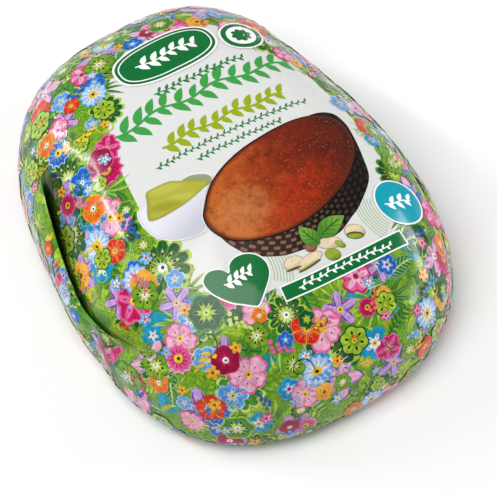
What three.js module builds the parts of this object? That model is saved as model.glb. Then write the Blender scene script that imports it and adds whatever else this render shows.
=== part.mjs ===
// A shut, film-wrapped festive cake pack, lying on its flat underside.
//
// Millimetres, +Z up. The origin is the middle of the flat underside, +Y is the pack's length
// towards its narrower back end, and +X is the right side of its printed top. The film is pulled
// over a domed cake and folded into each long side (-X and +X): a pocket of film covers the lower
// wall, and its rolled edge drops to a low point and leaves a deep slit behind it.

import * as THREE from 'three';

// The whole pack
const LENGTH = 250;
const HALF_WIDTH = 95.2;
const HEIGHT = 79.6;

// Its footprint, a rounded egg: the corners' squareness at each end, and how much the front widens
const FRONT_SQUARENESS = 2.48;
const BACK_SQUARENESS = 2.96;
const FRONT_WIDENING = 0.109;
const END_BLEND = 3;

// Its upright section: flat foot, rounded lower edge, widest level, then a squarish dome
const FOOT_SCALE = 0.8;
const WIDEST_HEIGHT = 9.6;
const DOME_SQUARENESS = 2.5;
const TOP_LEAN_X = 1.2;
const TOP_LEAN_Y = 4.1;

// The rolled edge of each side pocket, by the angle round the pack from its side axis, in degrees,
// positive towards the back
const LOW_ANGLE = -11.5;
const LOW_HEIGHT = 35.5;
const BACK_REACH = 52;
const BACK_RISE = 17;
const RIGHT_BACK_RISE = 5;
const RISE_BLEND = 55;
const FRONT_REACH = 34;
const FRONT_RISE = 18;

// The pocket's roll and the slit behind it, at their fullest
const ROLL_OUT = 3.4;
const ROLL_THICKNESS = 3.2;
const ROLL_REACH = 26;
const SLIT_GAP = 4.2;
const SLIT_DEPTH = 14;
const SHOULDER_REACH = 20;
const FRONT_ROLL = 0.42;
const RIGHT_ROLL = 0.4;
const ROLL_FADE = 8;
const BACK_FADE = 26;
const FRONT_FADE = 24;

// How finely the skin is divided
const COLUMNS = 120;
const FOOT_ROWS = 5;
const WALL_ROWS = 6;
const DOME_ROWS = 14;
const BELOW_ROLL = 8;
const ABOVE_SLIT = 7;

// Soft dents and pulls of the film: where each starts and ends (angle round the pack in degrees,
// height), how deep it is and how wide. A negative depth is a ridge.
const PULLS = [
  { from: [212, 66], to: [203, 44], depth: 1.1, width: 5 },
  { from: [228, 70], to: [222, 50], depth: 1.3, width: 6 },
  { from: [246, 62], to: [238, 22], depth: 1.2, width: 7 },
  { from: [268, 58], to: [272, 24], depth: 1.0, width: 9 },
  { from: [292, 66], to: [300, 30], depth: 1.4, width: 7 },
  { from: [318, 60], to: [312, 20], depth: 1.2, width: 6 },
  { from: [36, 64], to: [48, 34], depth: 1.3, width: 7 },
  { from: [78, 46], to: [74, 18], depth: 1.1, width: 8 },
  { from: [104, 44], to: [108, 16], depth: 1.2, width: 8 },
  { from: [138, 66], to: [130, 36], depth: 1.4, width: 7 },
  { from: [150, 72], to: [196, 71], depth: -1.2, width: 7 },
  { from: [30, 72], to: [-16, 71], depth: -1.2, width: 7 },
  { from: [197, 33], to: [203, 6], depth: 3, width: 5 },
  { from: [343, 33], to: [337, 6], depth: 3, width: 5 },
  { from: [10, 52], to: [50, 52], depth: 4, width: 32 },
  { from: [114, 58], to: [134, 58], depth: 3.4, width: 24 },
  { from: [58, 62], to: [92, 62], depth: -2.6, width: 24 },
  { from: [345, 40], to: [327, 38], depth: 3, width: 9 },
];

const clamp = (value, low, high) => Math.min(high, Math.max(low, value));
const mix = (a, b, share) => a + (b - a) * share;
const ease = (share) => {
  const s = clamp(share, 0, 1);
  return s * s * (3 - 2 * s);
};

/** The outline of the widest level at parameter t, which runs once round from +X. */
function outline(t) {
  const c = Math.cos(t);
  const s = Math.sin(t);
  const backness = 0.5 + 0.5 * Math.tanh(END_BLEND * s);
  const n = mix(FRONT_SQUARENESS, BACK_SQUARENESS, backness);
  const r = (Math.abs(c) ** n + Math.abs(s) ** n) ** (-1 / n);
  const widening = 1 - FRONT_WIDENING * s * r;
  return [HALF_WIDTH * c * r * widening, (LENGTH / 2) * s * r];
}

/** The lower edge, from the foot's rim at 0 to the widest level at 1: share of the outline, height. */
function lowerSection(q) {
  const a = (q * Math.PI) / 2;
  return [mix(FOOT_SCALE, 1, Math.sin(a)), WIDEST_HEIGHT * (1 - Math.cos(a))];
}

/** The wall and dome, from the widest level at 0 to the top at 1: share of the outline, height. */
function domeSection(q) {
  const a = (q * Math.PI) / 2;
  const power = 2 / DOME_SQUARENESS;
  const rise = (HEIGHT - WIDEST_HEIGHT) * Math.sin(a) ** power;
  return [Math.max(0, Math.cos(a)) ** power, WIDEST_HEIGHT + rise];
}

/** The dome's parameter at a height. */
function domeParameter(height) {
  const rise = clamp((height - WIDEST_HEIGHT) / (HEIGHT - WIDEST_HEIGHT), 0, 1);
  return (2 / Math.PI) * Math.asin(rise ** (DOME_SQUARENESS / 2));
}

/** The angle from the nearer side axis, in degrees, positive towards the back. */
function sideAngle(x, y) {
  return THREE.MathUtils.radToDeg(Math.atan2(y, Math.abs(x)));
}

/** The height of the pocket's edge: a straight rise to the front, an eased one to the back. */
function edgeHeight(angle, x) {
  if (angle < LOW_ANGLE) {
    const share = clamp((LOW_ANGLE - angle) / FRONT_REACH, 0, 1);
    return LOW_HEIGHT + FRONT_RISE * share;
  }
  const share = clamp((angle - LOW_ANGLE) / BACK_REACH, 0, 1);
  const soft = 0.5 * ease(share) + 0.5 * Math.sin((share * Math.PI) / 2);
  const rightness = ease((x + RISE_BLEND) / (2 * RISE_BLEND));
  return LOW_HEIGHT + mix(BACK_RISE, RIGHT_BACK_RISE, rightness) * soft;
}

/** How full the fold is: deep behind the low point and low in front of it, and lower on the right. */
function foldWeight(angle, side) {
  const back = ease((LOW_ANGLE + BACK_REACH - angle) / BACK_FADE);
  const front = ease((angle - LOW_ANGLE + FRONT_REACH) / FRONT_FADE);
  const deep = ease((angle - LOW_ANGLE + 0.5 * ROLL_FADE) / ROLL_FADE);
  const deepest = side < 0 ? 1 : RIGHT_ROLL;
  return back * front * mix(FRONT_ROLL, deepest, deep);
}

/** The fold's own section, as [outward, along the wall] from the edge line, for a full fold. */
function foldSection() {
  const inner = ROLL_OUT - ROLL_THICKNESS;
  const wall = inner - SLIT_GAP;
  return [
    [ROLL_OUT, -BELOW_ROLL],
    [ROLL_OUT, -4],
    [ROLL_OUT - 0.4, -1.2],
    [ROLL_OUT - 1.5, 0.6],
    [mix(ROLL_OUT, inner, 0.55), 1],
    [inner + 0.5, 0],
    [inner, -3],
    [mix(inner, wall, 0.15), -0.6 * SLIT_DEPTH],
    [mix(inner, wall, 0.5), -SLIT_DEPTH],
    [mix(inner, wall, 0.9), -0.8 * SLIT_DEPTH],
    [wall, -0.45 * SLIT_DEPTH],
    [wall, 0],
    [wall, ABOVE_SLIT],
  ];
}

/** How far the skin stands out (or in, below nought) beside the fold, at a height. */
function besideFold(height, edge, weight) {
  const wall = ROLL_OUT - ROLL_THICKNESS - SLIT_GAP;
  if (height < edge) {
    return weight * ROLL_OUT * ease(1 - (edge - BELOW_ROLL - height) / ROLL_REACH);
  }
  return weight * wall * ease(1 - (height - edge - ABOVE_SLIT) / SHOULDER_REACH);
}

/** The film's soft dents and ridges, as a distance inwards. */
function pullDepth(x, y, z) {
  const radius = Math.hypot(x, y);
  const angle = THREE.MathUtils.radToDeg(Math.atan2(y, x));
  let depth = 0;
  for (const pull of PULLS) {
    const turn = ((((angle - pull.from[0]) % 360) + 540) % 360) - 180;
    const along = [((pull.to[0] - pull.from[0]) * Math.PI * radius) / 180, pull.to[1] - pull.from[1]];
    const here = [(turn * Math.PI * radius) / 180, z - pull.from[1]];
    const reach = along[0] ** 2 + along[1] ** 2;
    const share = clamp((here[0] * along[0] + here[1] * along[1]) / reach, 0, 1);
    const gap = Math.hypot(here[0] - share * along[0], here[1] - share * along[1]);
    const taper = Math.sin(Math.PI * mix(0.12, 0.88, share));
    depth += pull.depth * taper * Math.exp(-((gap / pull.width) ** 2));
  }
  return depth;
}

/** One upright line of the skin at parameter t, from the foot's rim to just under the top. */
function column(t) {
  const [rimX, rimY] = outline(t);
  const rim = Math.hypot(rimX, rimY);
  const angle = sideAngle(rimX, rimY);
  const edge = edgeHeight(angle, rimX);
  const weight = foldWeight(angle, Math.sign(rimX));

  // Sections are worked out as [distance from the axis, height]
  const onDome = (q) => {
    const [scale, height] = domeSection(q);
    return [scale * rim, height];
  };
  const outward = (q) => {
    const [r0, z0] = onDome(Math.max(0, q - 0.01));
    const [r1, z1] = onDome(Math.min(1, q + 0.01));
    const length = Math.hypot(r1 - r0, z1 - z0);
    return [(z1 - z0) / length, (r0 - r1) / length];
  };
  const pushed = (q) => {
    const [r, z] = onDome(q);
    const [nr, nz] = outward(q);
    const out = besideFold(z, edge, weight);
    return [r + nr * out, z + nz * out];
  };

  const points = [];
  for (let i = 0; i < FOOT_ROWS; i += 1) {
    const [scale, height] = lowerSection(i / FOOT_ROWS);
    points.push([scale * rim, height]);
  }
  const wallEnd = domeParameter(edge - BELOW_ROLL);
  const domeStart = domeParameter(edge + ABOVE_SLIT);
  for (let i = 0; i < WALL_ROWS; i += 1) points.push(pushed((wallEnd * i) / WALL_ROWS));

  const at = domeParameter(edge);
  const [edgeR, edgeZ] = onDome(at);
  const [nr, nz] = outward(at);
  const section = foldSection();
  section.forEach(([out, along], i) => {
    const [flatR, flatZ] = onDome(mix(wallEnd, domeStart, i / (section.length - 1)));
    const foldR = edgeR + nr * out - nz * along;
    const foldZ = edgeZ + nz * out + nr * along;
    points.push([mix(flatR, foldR, weight), mix(flatZ, foldZ, weight)]);
  });

  for (let i = 1; i < DOME_ROWS; i += 1) points.push(pushed(mix(domeStart, 1, i / DOME_ROWS)));

  return points.map(([r, z]) => {
    const rise = clamp((z - WIDEST_HEIGHT) / (HEIGHT - WIDEST_HEIGHT), 0, 1) ** 2;
    const x = (rimX / rim) * r;
    const y = (rimY / rim) * r;
    const inward = z > 0.5 * WIDEST_HEIGHT ? pullDepth(x, y, z) : 0;
    const shrink = 1 - inward / Math.max(r, 1);
    return [x * shrink + TOP_LEAN_X * rise, y * shrink + TOP_LEAN_Y * rise, z];
  });
}

/** The whole skin: its columns, closed by a fan at the top and one under the foot. */
function packGeometry() {
  const vertices = [];
  const triangles = [];
  const columns = [];
  for (let i = 0; i < COLUMNS; i += 1) columns.push(column((2 * Math.PI * i) / COLUMNS));
  const rows = columns[0].length;
  for (const points of columns) points.forEach((point) => vertices.push(...point));
  const top = vertices.length / 3;
  vertices.push(TOP_LEAN_X, TOP_LEAN_Y, HEIGHT);
  const bottom = top + 1;
  vertices.push(0, 0, 0);

  for (let i = 0; i < COLUMNS; i += 1) {
    const here = i * rows;
    const next = ((i + 1) % COLUMNS) * rows;
    for (let j = 0; j < rows - 1; j += 1) {
      triangles.push(here + j, next + j, next + j + 1);
      triangles.push(here + j, next + j + 1, here + j + 1);
    }
    triangles.push(here + rows - 1, next + rows - 1, top);
    triangles.push(bottom, next, here);
  }

  const geometry = new THREE.BufferGeometry();
  geometry.setAttribute('position', new THREE.Float32BufferAttribute(vertices, 3));
  geometry.setIndex(triangles);
  geometry.computeVertexNormals();
  return geometry;
}

const film = new THREE.MeshStandardMaterial({ color: 0x8fbf3f, roughness: 0.25, metalness: 0 });

const pack = new THREE.Group();
const cakePack = new THREE.Mesh(packGeometry(), film);
cakePack.name = 'cake_pack';
pack.add(cakePack);

export default pack;
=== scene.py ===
import math
import random

import bmesh
import bpy
import numpy as np
from mathutils import Matrix, Vector, noise


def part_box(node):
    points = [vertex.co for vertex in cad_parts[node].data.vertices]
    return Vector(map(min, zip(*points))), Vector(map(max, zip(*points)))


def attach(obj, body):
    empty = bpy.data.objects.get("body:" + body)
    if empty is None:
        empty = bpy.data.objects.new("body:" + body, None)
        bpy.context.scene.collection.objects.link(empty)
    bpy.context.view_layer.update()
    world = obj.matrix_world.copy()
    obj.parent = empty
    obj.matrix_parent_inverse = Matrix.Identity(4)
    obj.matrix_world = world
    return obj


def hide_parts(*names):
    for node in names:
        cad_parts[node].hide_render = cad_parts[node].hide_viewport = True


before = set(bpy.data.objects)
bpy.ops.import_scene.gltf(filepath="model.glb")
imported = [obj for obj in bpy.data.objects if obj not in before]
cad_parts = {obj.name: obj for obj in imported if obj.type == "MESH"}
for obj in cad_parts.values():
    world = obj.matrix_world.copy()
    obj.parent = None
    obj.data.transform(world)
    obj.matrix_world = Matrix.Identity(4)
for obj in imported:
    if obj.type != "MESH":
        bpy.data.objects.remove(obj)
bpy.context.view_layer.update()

bl_info = {
    "name": "Festive Cake Pack",
    "version": (1, 0, 0),
    "blender": (4, 5, 0),
    "location": "View3D > Sidebar > Cake Pack",
    "description": "Dresses a shut cake pack in glossy printed film, with its folds, blossoms and label",
    "category": "Object",
}

MM = 0.001
NODE = "cake_pack"
UV = "motif"
PACK_LOW, PACK_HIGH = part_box(NODE)


def tone(red, green, blue):
    """An sRGB colour of 0 to 255 a channel, as the linear colour that nodes take."""
    def channel(value):
        value /= 255
        return value / 12.92 if value <= 0.04045 else ((value + 0.055) / 1.055) ** 2.4
    return channel(red), channel(green), channel(blue), 1


WHITE = tone(250, 250, 248)
INK_BLACK = tone(22, 40, 24)
LIME = tone(128, 172, 34)
BRIGHT_LIME = tone(178, 212, 52)
PALE_LIME = tone(216, 230, 128)
LEAF_GREEN = tone(70, 148, 44)
DEEP_GREEN = tone(10, 92, 44)
TEAL_GREEN = tone(16, 128, 96)
OLIVE = tone(112, 142, 30)
EMERALD = tone(20, 128, 62)
BOTTLE_GREEN = tone(10, 64, 36)
PINK = tone(236, 104, 164)
PALE_PINK = tone(250, 186, 212)
MAGENTA = tone(206, 20, 98)
CRIMSON = tone(158, 8, 60)
RED = tone(222, 38, 26)
ORANGE = tone(242, 124, 22)
AMBER = tone(244, 176, 60)
YELLOW = tone(246, 206, 46)
CORAL = tone(242, 120, 92)
BLUE = tone(36, 98, 194)
SKY = tone(96, 170, 236)
PALE_SKY = tone(190, 220, 248)
TURQUOISE = tone(16, 160, 206)
VIOLET = tone(118, 62, 160)
LILAC = tone(204, 166, 226)


# Settings that a user would change


def as_length(name, description, default, **values):
    return bpy.props.FloatProperty(
        name=name, description=description, default=default, unit="LENGTH", **values)


def as_angle(name, description, degrees):
    return bpy.props.FloatProperty(
        name=name, description=description, default=math.radians(degrees), subtype="ANGLE")


def as_colour(name, description, default):
    return bpy.props.FloatVectorProperty(
        name=name, description=description, default=default, subtype="COLOR", size=4)


class PackForm(bpy.types.PropertyGroup):
    half_width: as_length(
        "Half width", "Half the pack's width at its middle, without the pockets' rolls", 0.0952)
    length: as_length("Length", "The pack's length", PACK_HIGH[1] - PACK_LOW[1])
    height: as_length("Height", "The height of the dome", PACK_HIGH[2])
    roll_out: as_length("Roll", "How far a side pocket's rolled edge stands out", 0.0039)
    slit_depth: as_length("Slit depth", "How deep the slit behind the roll is", 0.015)
    ripple: as_length("Ripple", "The height of the film's soft unevenness", 0.00022)
    seed: bpy.props.IntProperty(name="Seed", description="The seed of the film's small creases", default=5)


class PrintForm(bpy.types.PropertyGroup):
    crowding: bpy.props.FloatProperty(
        name="Crowding", description="How close the printed motifs stand, 1 being as on the real film",
        default=1.0, min=0.4, max=1.5)
    lift: as_length("Ink lift", "How far each layer of ink stands off the one below", 0.00003, precision=6)
    base_lift: as_length(
        "First lift", "How far the lowest layer of ink stands off the film", 0.00007, precision=6)
    seed: bpy.props.IntProperty(name="Seed", description="The seed of the motifs' places", default=11)
    ground: as_colour("Ground", "The colour behind the motifs", LIME)
    label: as_colour("Label", "The pale field on top", tone(219, 220, 218))
    tag: as_colour("Tags", "The green tags on the label", tone(0, 108, 50))


class StageForm(bpy.types.PropertyGroup):
    azimuth: as_angle("Azimuth", "The camera's angle round the pack, from its front", 30)
    elevation: as_angle("Elevation", "The camera's angle above the floor", 58)
    distance: as_length("Distance", "From the camera to the pack's foot", 1.3203)
    lens: bpy.props.FloatProperty(
        name="Lens", description="The camera's focal length", default=183.1, unit="CAMERA")
    floor: as_colour("Floor", "The colour of the floor", (0.93, 0.93, 0.93, 1))


# Small helpers for nodes


class Value:
    """A node's output. Adding, multiplying and so on, with values or numbers, adds Math nodes."""

    def __init__(self, nodes, socket):
        self.nodes, self.socket = nodes, socket

    def math(self, operation, *others):
        return self.nodes.math(operation, self, *others)

    def __add__(self, other):
        return self.math("ADD", other)

    def __sub__(self, other):
        return self.math("SUBTRACT", other)

    def __rsub__(self, other):
        return self.nodes.math("SUBTRACT", other, self)

    def __mul__(self, other):
        return self.math("MULTIPLY", other)

    def __truediv__(self, other):
        return self.math("DIVIDE", other)

    def __rtruediv__(self, other):
        return self.nodes.math("DIVIDE", other, self)

    def __pow__(self, other):
        return self.math("POWER", other)

    def __mod__(self, other):
        return self.math("MODULO", other)

    def __abs__(self):
        return self.math("ABSOLUTE")


class Nodes:
    """A tree of nodes, with short ways to add them."""

    def __init__(self, tree):
        self.tree = tree

    def fill(self, node, inputs):
        """Sets a node's inputs to numbers or colours, or joins them to values."""
        for key, value in inputs.items():
            if isinstance(value, Value):
                self.tree.links.new(value.socket, node.inputs[key])
            else:
                node.inputs[key].default_value = value
        return node

    def add(self, kind, inputs=None, **settings):
        node = self.tree.nodes.new(kind)
        for name, value in settings.items():
            setattr(node, name, value)
        return self.fill(node, inputs or {})

    def get(self, kind, inputs=None, output=0, **settings):
        """The output of a new node, or a list of them where output is a tuple."""
        outputs = self.add(kind, inputs, **settings).outputs
        if isinstance(output, tuple):
            return [Value(self, outputs[key]) for key in output]
        return Value(self, outputs[output])

    def math(self, operation, *values):
        return self.get("ShaderNodeMath", dict(enumerate(values)), operation=operation)

    def step(self, value, low, high):
        """0 below low, 1 above high, and smooth between them."""
        inputs = {"Value": value, "From Min": low, "From Max": high}
        return self.get("ShaderNodeMapRange", inputs, interpolation_type="SMOOTHSTEP")

    def mix(self, share, first, second, kind="MIX"):
        inputs = {0: share, 6: first, 7: second}
        return self.get("ShaderNodeMix", inputs, 2, data_type="RGBA", blend_type=kind)

    def noise(self, place, scale, detail, **inputs):
        return self.get("ShaderNodeTexNoise", {"Vector": place, "Scale": scale, "Detail": detail, **inputs})

    def ramp(self, value, stops, kind="LINEAR"):
        """A colour that runs through stops, each a place of 0 to 1 and a colour."""
        node = self.add("ShaderNodeValToRGB", {0: value})
        node.color_ramp.interpolation = kind
        elements = node.color_ramp.elements
        while len(elements) < len(stops):
            elements.new(1)
        for element, (place, colour) in zip(elements, stops):
            element.position, element.color = place, colour
        return Value(self, node.outputs[0])

    def palette(self, colours):
        """One of several colours, by each printed motif's own shade of 0 to 1."""
        stops = [(index / len(colours), colour) for index, colour in enumerate(colours)]
        return self.ramp(self.attribute("shade"), stops, "CONSTANT")

    def attribute(self, name):
        return self.get("ShaderNodeAttribute", output="Fac", attribute_name=name)

    def place(self):
        return self.get("ShaderNodeTexCoord", output="Object")

    def join(self, **parts):
        """A vector from its X, Y and Z."""
        return self.get("ShaderNodeCombineXYZ", parts)

    def split(self, vector):
        """A vector's x and y."""
        return self.get("ShaderNodeSeparateXYZ", {0: vector}, ("X", "Y"))

    def own(self):
        """The place on the motif's own map, as x and y of 0 to 1."""
        return self.split(self.get("ShaderNodeUVMap", uv_map=UV))

    def polar(self):
        """The place on the motif's own map, as distance and angle from its middle."""
        x, y = (value * 2 - 1 for value in self.own())
        return (x * x + y * y).math("SQRT"), self.math("ARCTAN2", y, x)

    def group(self, build, **inputs):
        """A list of a node group's outputs. Its inputs are given by their names in small letters."""
        node = self.add(self.tree.bl_idname.replace("Tree", "Group"), node_tree=build())
        self.fill(node, {key.replace("_", " ").capitalize(): value for key, value in inputs.items()})
        return [Value(self, socket) for socket in node.outputs]

    def brushed(self, colour, depth=0.44):
        return self.group(brush_group, colour=colour, depth=depth)[0]


class Group(Nodes):
    """A new node group. Each input is a name, a kind of socket and perhaps a value."""

    def __init__(self, name, tree_kind, inputs, outputs):
        super().__init__(bpy.data.node_groups.new(name, tree_kind))
        for label, kind, *value in inputs:
            socket = self.tree.interface.new_socket(label, in_out="INPUT", socket_type=f"NodeSocket{kind}")
            if value:
                socket.default_value = value[0]
        for label, kind in outputs:
            self.tree.interface.new_socket(label, in_out="OUTPUT", socket_type=f"NodeSocket{kind}")
        sockets = self.tree.nodes.new("NodeGroupInput").outputs
        self.give = {label: Value(self, sockets[label]) for label, *_ in inputs}

    def end(self, *values):
        """Joins the outputs, and gives the finished tree."""
        self.fill(self.tree.nodes.new("NodeGroupOutput"), dict(enumerate(values)))
        return self.tree


class ColourGroup(Group):
    """A new group of shader nodes that makes a colour."""

    def __init__(self, name, inputs):
        super().__init__(name, "ShaderNodeTree", inputs, [("Colour", "Color")])


class InkTree(Group):
    """A new tree of geometry nodes that lays ink on the film."""

    def __init__(self, name, inputs):
        inputs = [*inputs, ("Film", "Object"), ("Lift", "Float", 0.00005), ("Ink", "Material")]
        super().__init__(name, "GeometryNodeTree", inputs, [("Geometry", "Geometry")])

    def film(self):
        return self.get("GeometryNodeObjectInfo", {"Object": self.give["Film"]}, "Geometry")

    def here(self):
        return self.get("GeometryNodeInputPosition")

    def named(self, name):
        return self.get("GeometryNodeInputNamedAttribute", {"Name": name}, "Attribute")

    def draw(self, low, high, **inputs):
        return self.get("FunctionNodeRandomValue", {2: low, 3: high, **inputs}, 1, data_type="FLOAT")

    def turn(self, angle):
        """A turn about the upright axis."""
        return self.get("FunctionNodeEulerToRotation", {0: self.join(Z=angle)})

    def copies(self, points, instance, rotation, scale):
        return self.get("GeometryNodeInstanceOnPoints", {
            "Points": points, "Instance": instance, "Rotation": rotation, "Scale": scale})

    def realized(self, geometry):
        return self.get("GeometryNodeRealizeInstances", {"Geometry": geometry})

    def put(self, geometry, **inputs):
        """Geometry at a new Position, or moved by an Offset."""
        return self.get("GeometryNodeSetPosition", {"Geometry": geometry, **inputs})

    def laid(self, geometry, place, normal):
        """Geometry at a place on the film, moved out of it by the ink's lift."""
        rise = self.get("ShaderNodeVectorMath", {0: normal, "Scale": self.give["Lift"]}, operation="SCALE")
        raised = self.get("ShaderNodeVectorMath", {0: place, 1: rise}, operation="ADD")
        return self.put(geometry, Position=raised)

    def inked(self, geometry):
        inputs = {"Geometry": geometry, "Material": self.give["Ink"]}
        return self.end(self.get("GeometryNodeSetMaterial", inputs))


def once(name):
    """Turns a function that builds a node group into one that builds it once and then shares it."""
    def wrap(build):
        return lambda: bpy.data.node_groups.get(name) or build(name)
    return wrap


# The pack's form, worked out from its sizes as arrays of columns round the pack. Lengths are in
# millimetres and angles in degrees.

END_BLEND = 3
FRONT_SQUARENESS, BACK_SQUARENESS, FRONT_WIDENING = 2.48, 2.96, 0.109
FOOT_SCALE, WIDEST_HEIGHT, DOME_SQUARENESS = 0.8, 9.6, 2.5
TOP_LEAN = (1.2, 4.1)
LOW_ANGLE, LOW_HEIGHT = -11.5, 35.5
BACK_REACH, BACK_RISE, RIGHT_BACK_RISE, RISE_BLEND = 52, 14.5, 5, 55
FRONT_REACH, FRONT_RISE = 34, 18
ROLL_THICKNESS, ROLL_REACH, SHOULDER_REACH = 3.8, 26, 20
LEFT_GAP, BACK_GAP, RIGHT_GAP = 2.3, 2.0, 0.5
BACK_GAP_START, BACK_GAP_REACH = 8, 18
# How much painted shade darkens the fold in front and on the right, and the angle where more painted shade
# starts behind and how far it runs
FRONT_PAINTED_SHADE, RIGHT_PAINTED_SHADE = 0.6, 0.4
BACK_SHADE_START, BACK_SHADE_REACH = -2, 16
FRONT_ROLL, RIGHT_ROLL, ROLL_FADE, BACK_FADE, FRONT_FADE = 0.42, 0.4, 8, 26, 24
BELOW_ROLL, ABOVE_SLIT, WALL_BEND = 8, 7, 90
INK_ROOM, DENT_POWER, CREASE_POWER = 0.4, 2, 1.2
COLUMNS, UNDER_RINGS, FOOT_ROWS, WALL_ROWS, DOME_ROWS = 132, 5, 4, 6, 14

# Broad dents and ridges: start and end as angle round the pack and height, then depth and width
PULLS = [
    (212, 66, 203, 44, 1.1, 5), (228, 70, 222, 50, 1.3, 6), (246, 62, 238, 22, 1.2, 7),
    (268, 58, 272, 24, 1.0, 9), (292, 66, 300, 30, 1.4, 7), (318, 60, 312, 20, 1.2, 6),
    (36, 64, 48, 34, 1.3, 7), (78, 46, 74, 18, 1.1, 8), (104, 44, 108, 16, 1.2, 8),
    (138, 66, 130, 36, 1.4, 7), (150, 72, 196, 71, -1.2, 7), (30, 72, -16, 71, -1.2, 7),
    (197, 33, 203, 6, 3.0, 5), (343, 33, 337, 6, 3.0, 5), (10, 52, 50, 52, 4.0, 32),
    (114, 58, 134, 58, 3.4, 24), (58, 62, 92, 62, -2.6, 24), (345, 40, 327, 38, 3.0, 9),
    (196, 36, 213, 47, -1.2, 2.4), (207, 44, 226, 53, -1.2, 2.4),
    (196, 31, 213, 42, 1.3, 2.6), (207, 39.5, 226, 48.5, 1.3, 2.6),
]

# For each point along the fold's section and the row above it: how much painted shade darkens it inside the
# fold, how much more painted shade it gets where the fold ends behind, and how far it is tucked in, where
# creases and ink leave it out
FOLD_PAINTED_SHADE = [0, 0, 0, 0, 0.1, 0.55, 0.95, 1, 1, 1, 1, 0.6, 0.12, 0, 0]
BACK_PAINTED_SHADE = [0, 0, 0, 0, 0, 0.1, 0.05, 0, 0, 0, 0, 0.3, 0.5, 0.35, 0.1]
TUCKED = [0, 0, 0, 0, 0.2, 0.7, 1, 1, 1, 1, 1, 0.7, 0, 0, 0]


def ease(share):
    s = np.clip(share, 0, 1)
    return s * s * (3 - 2 * s)


def egg(t, half_width, half_length, front, back, widening):
    """A rounded egg outline at parameter t, blunter or rounder at each end and wider at the front."""
    c, s = np.cos(t), np.sin(t)
    n = front + (back - front) * (0.5 + 0.5 * np.tanh(END_BLEND * s))
    r = (np.abs(c) ** n + np.abs(s) ** n) ** (-1 / n)
    return half_width * c * r * (1 - widening * s * r), half_length * s * r


def edge_height(angle, x):
    """The height of a side pocket's edge, by the angle from the nearer side axis."""
    front = LOW_HEIGHT + FRONT_RISE * np.clip((LOW_ANGLE - angle) / FRONT_REACH, 0, 1)
    share = np.clip((angle - LOW_ANGLE) / BACK_REACH, 0, 1)
    rightness = ease((x + RISE_BLEND) / (2 * RISE_BLEND))
    rise = BACK_RISE + (RIGHT_BACK_RISE - BACK_RISE) * rightness
    back = LOW_HEIGHT + rise * (0.5 * ease(share) + 0.5 * np.sin(share * math.pi / 2))
    return np.where(angle < LOW_ANGLE, front, back)


def fold_weight(angle, side):
    """How full the fold is: deep behind the low point, low in front of it, and lower on the right."""
    back = ease((LOW_ANGLE + BACK_REACH - angle) / BACK_FADE)
    front = ease((angle - LOW_ANGLE + FRONT_REACH) / FRONT_FADE)
    deep = ease((angle - LOW_ANGLE + 0.5 * ROLL_FADE) / ROLL_FADE)
    deepest = np.where(side < 0, 1, RIGHT_ROLL)
    return back * front * (FRONT_ROLL + (deepest - FRONT_ROLL) * deep)


def fold_section(roll, depth, gap):
    """The fold's own section, as pairs of outward and along the wall from the edge line."""
    inner = roll - ROLL_THICKNESS
    wall = inner - gap
    outer = [
        (roll, -BELOW_ROLL), (roll, -4), (roll - 0.3, -1), (roll - 1.2, 1.2),
        (roll + 0.55 * (inner - roll), 1.9), (inner + 0.5, 0.8), (inner, -3),
    ]
    slit = [
        (inner + 0.15 * (wall - inner), -0.6 * depth), (inner + 0.5 * (wall - inner), -depth),
        (inner + 0.9 * (wall - inner), -0.8 * depth), (wall, -0.45 * depth),
    ]
    slit = [(out - along ** 2 / WALL_BEND, along) for out, along in slit]
    return outer + slit + [(wall, 0), (wall, 0.3 * ABOVE_SLIT), (wall, ABOVE_SLIT)]


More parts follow.
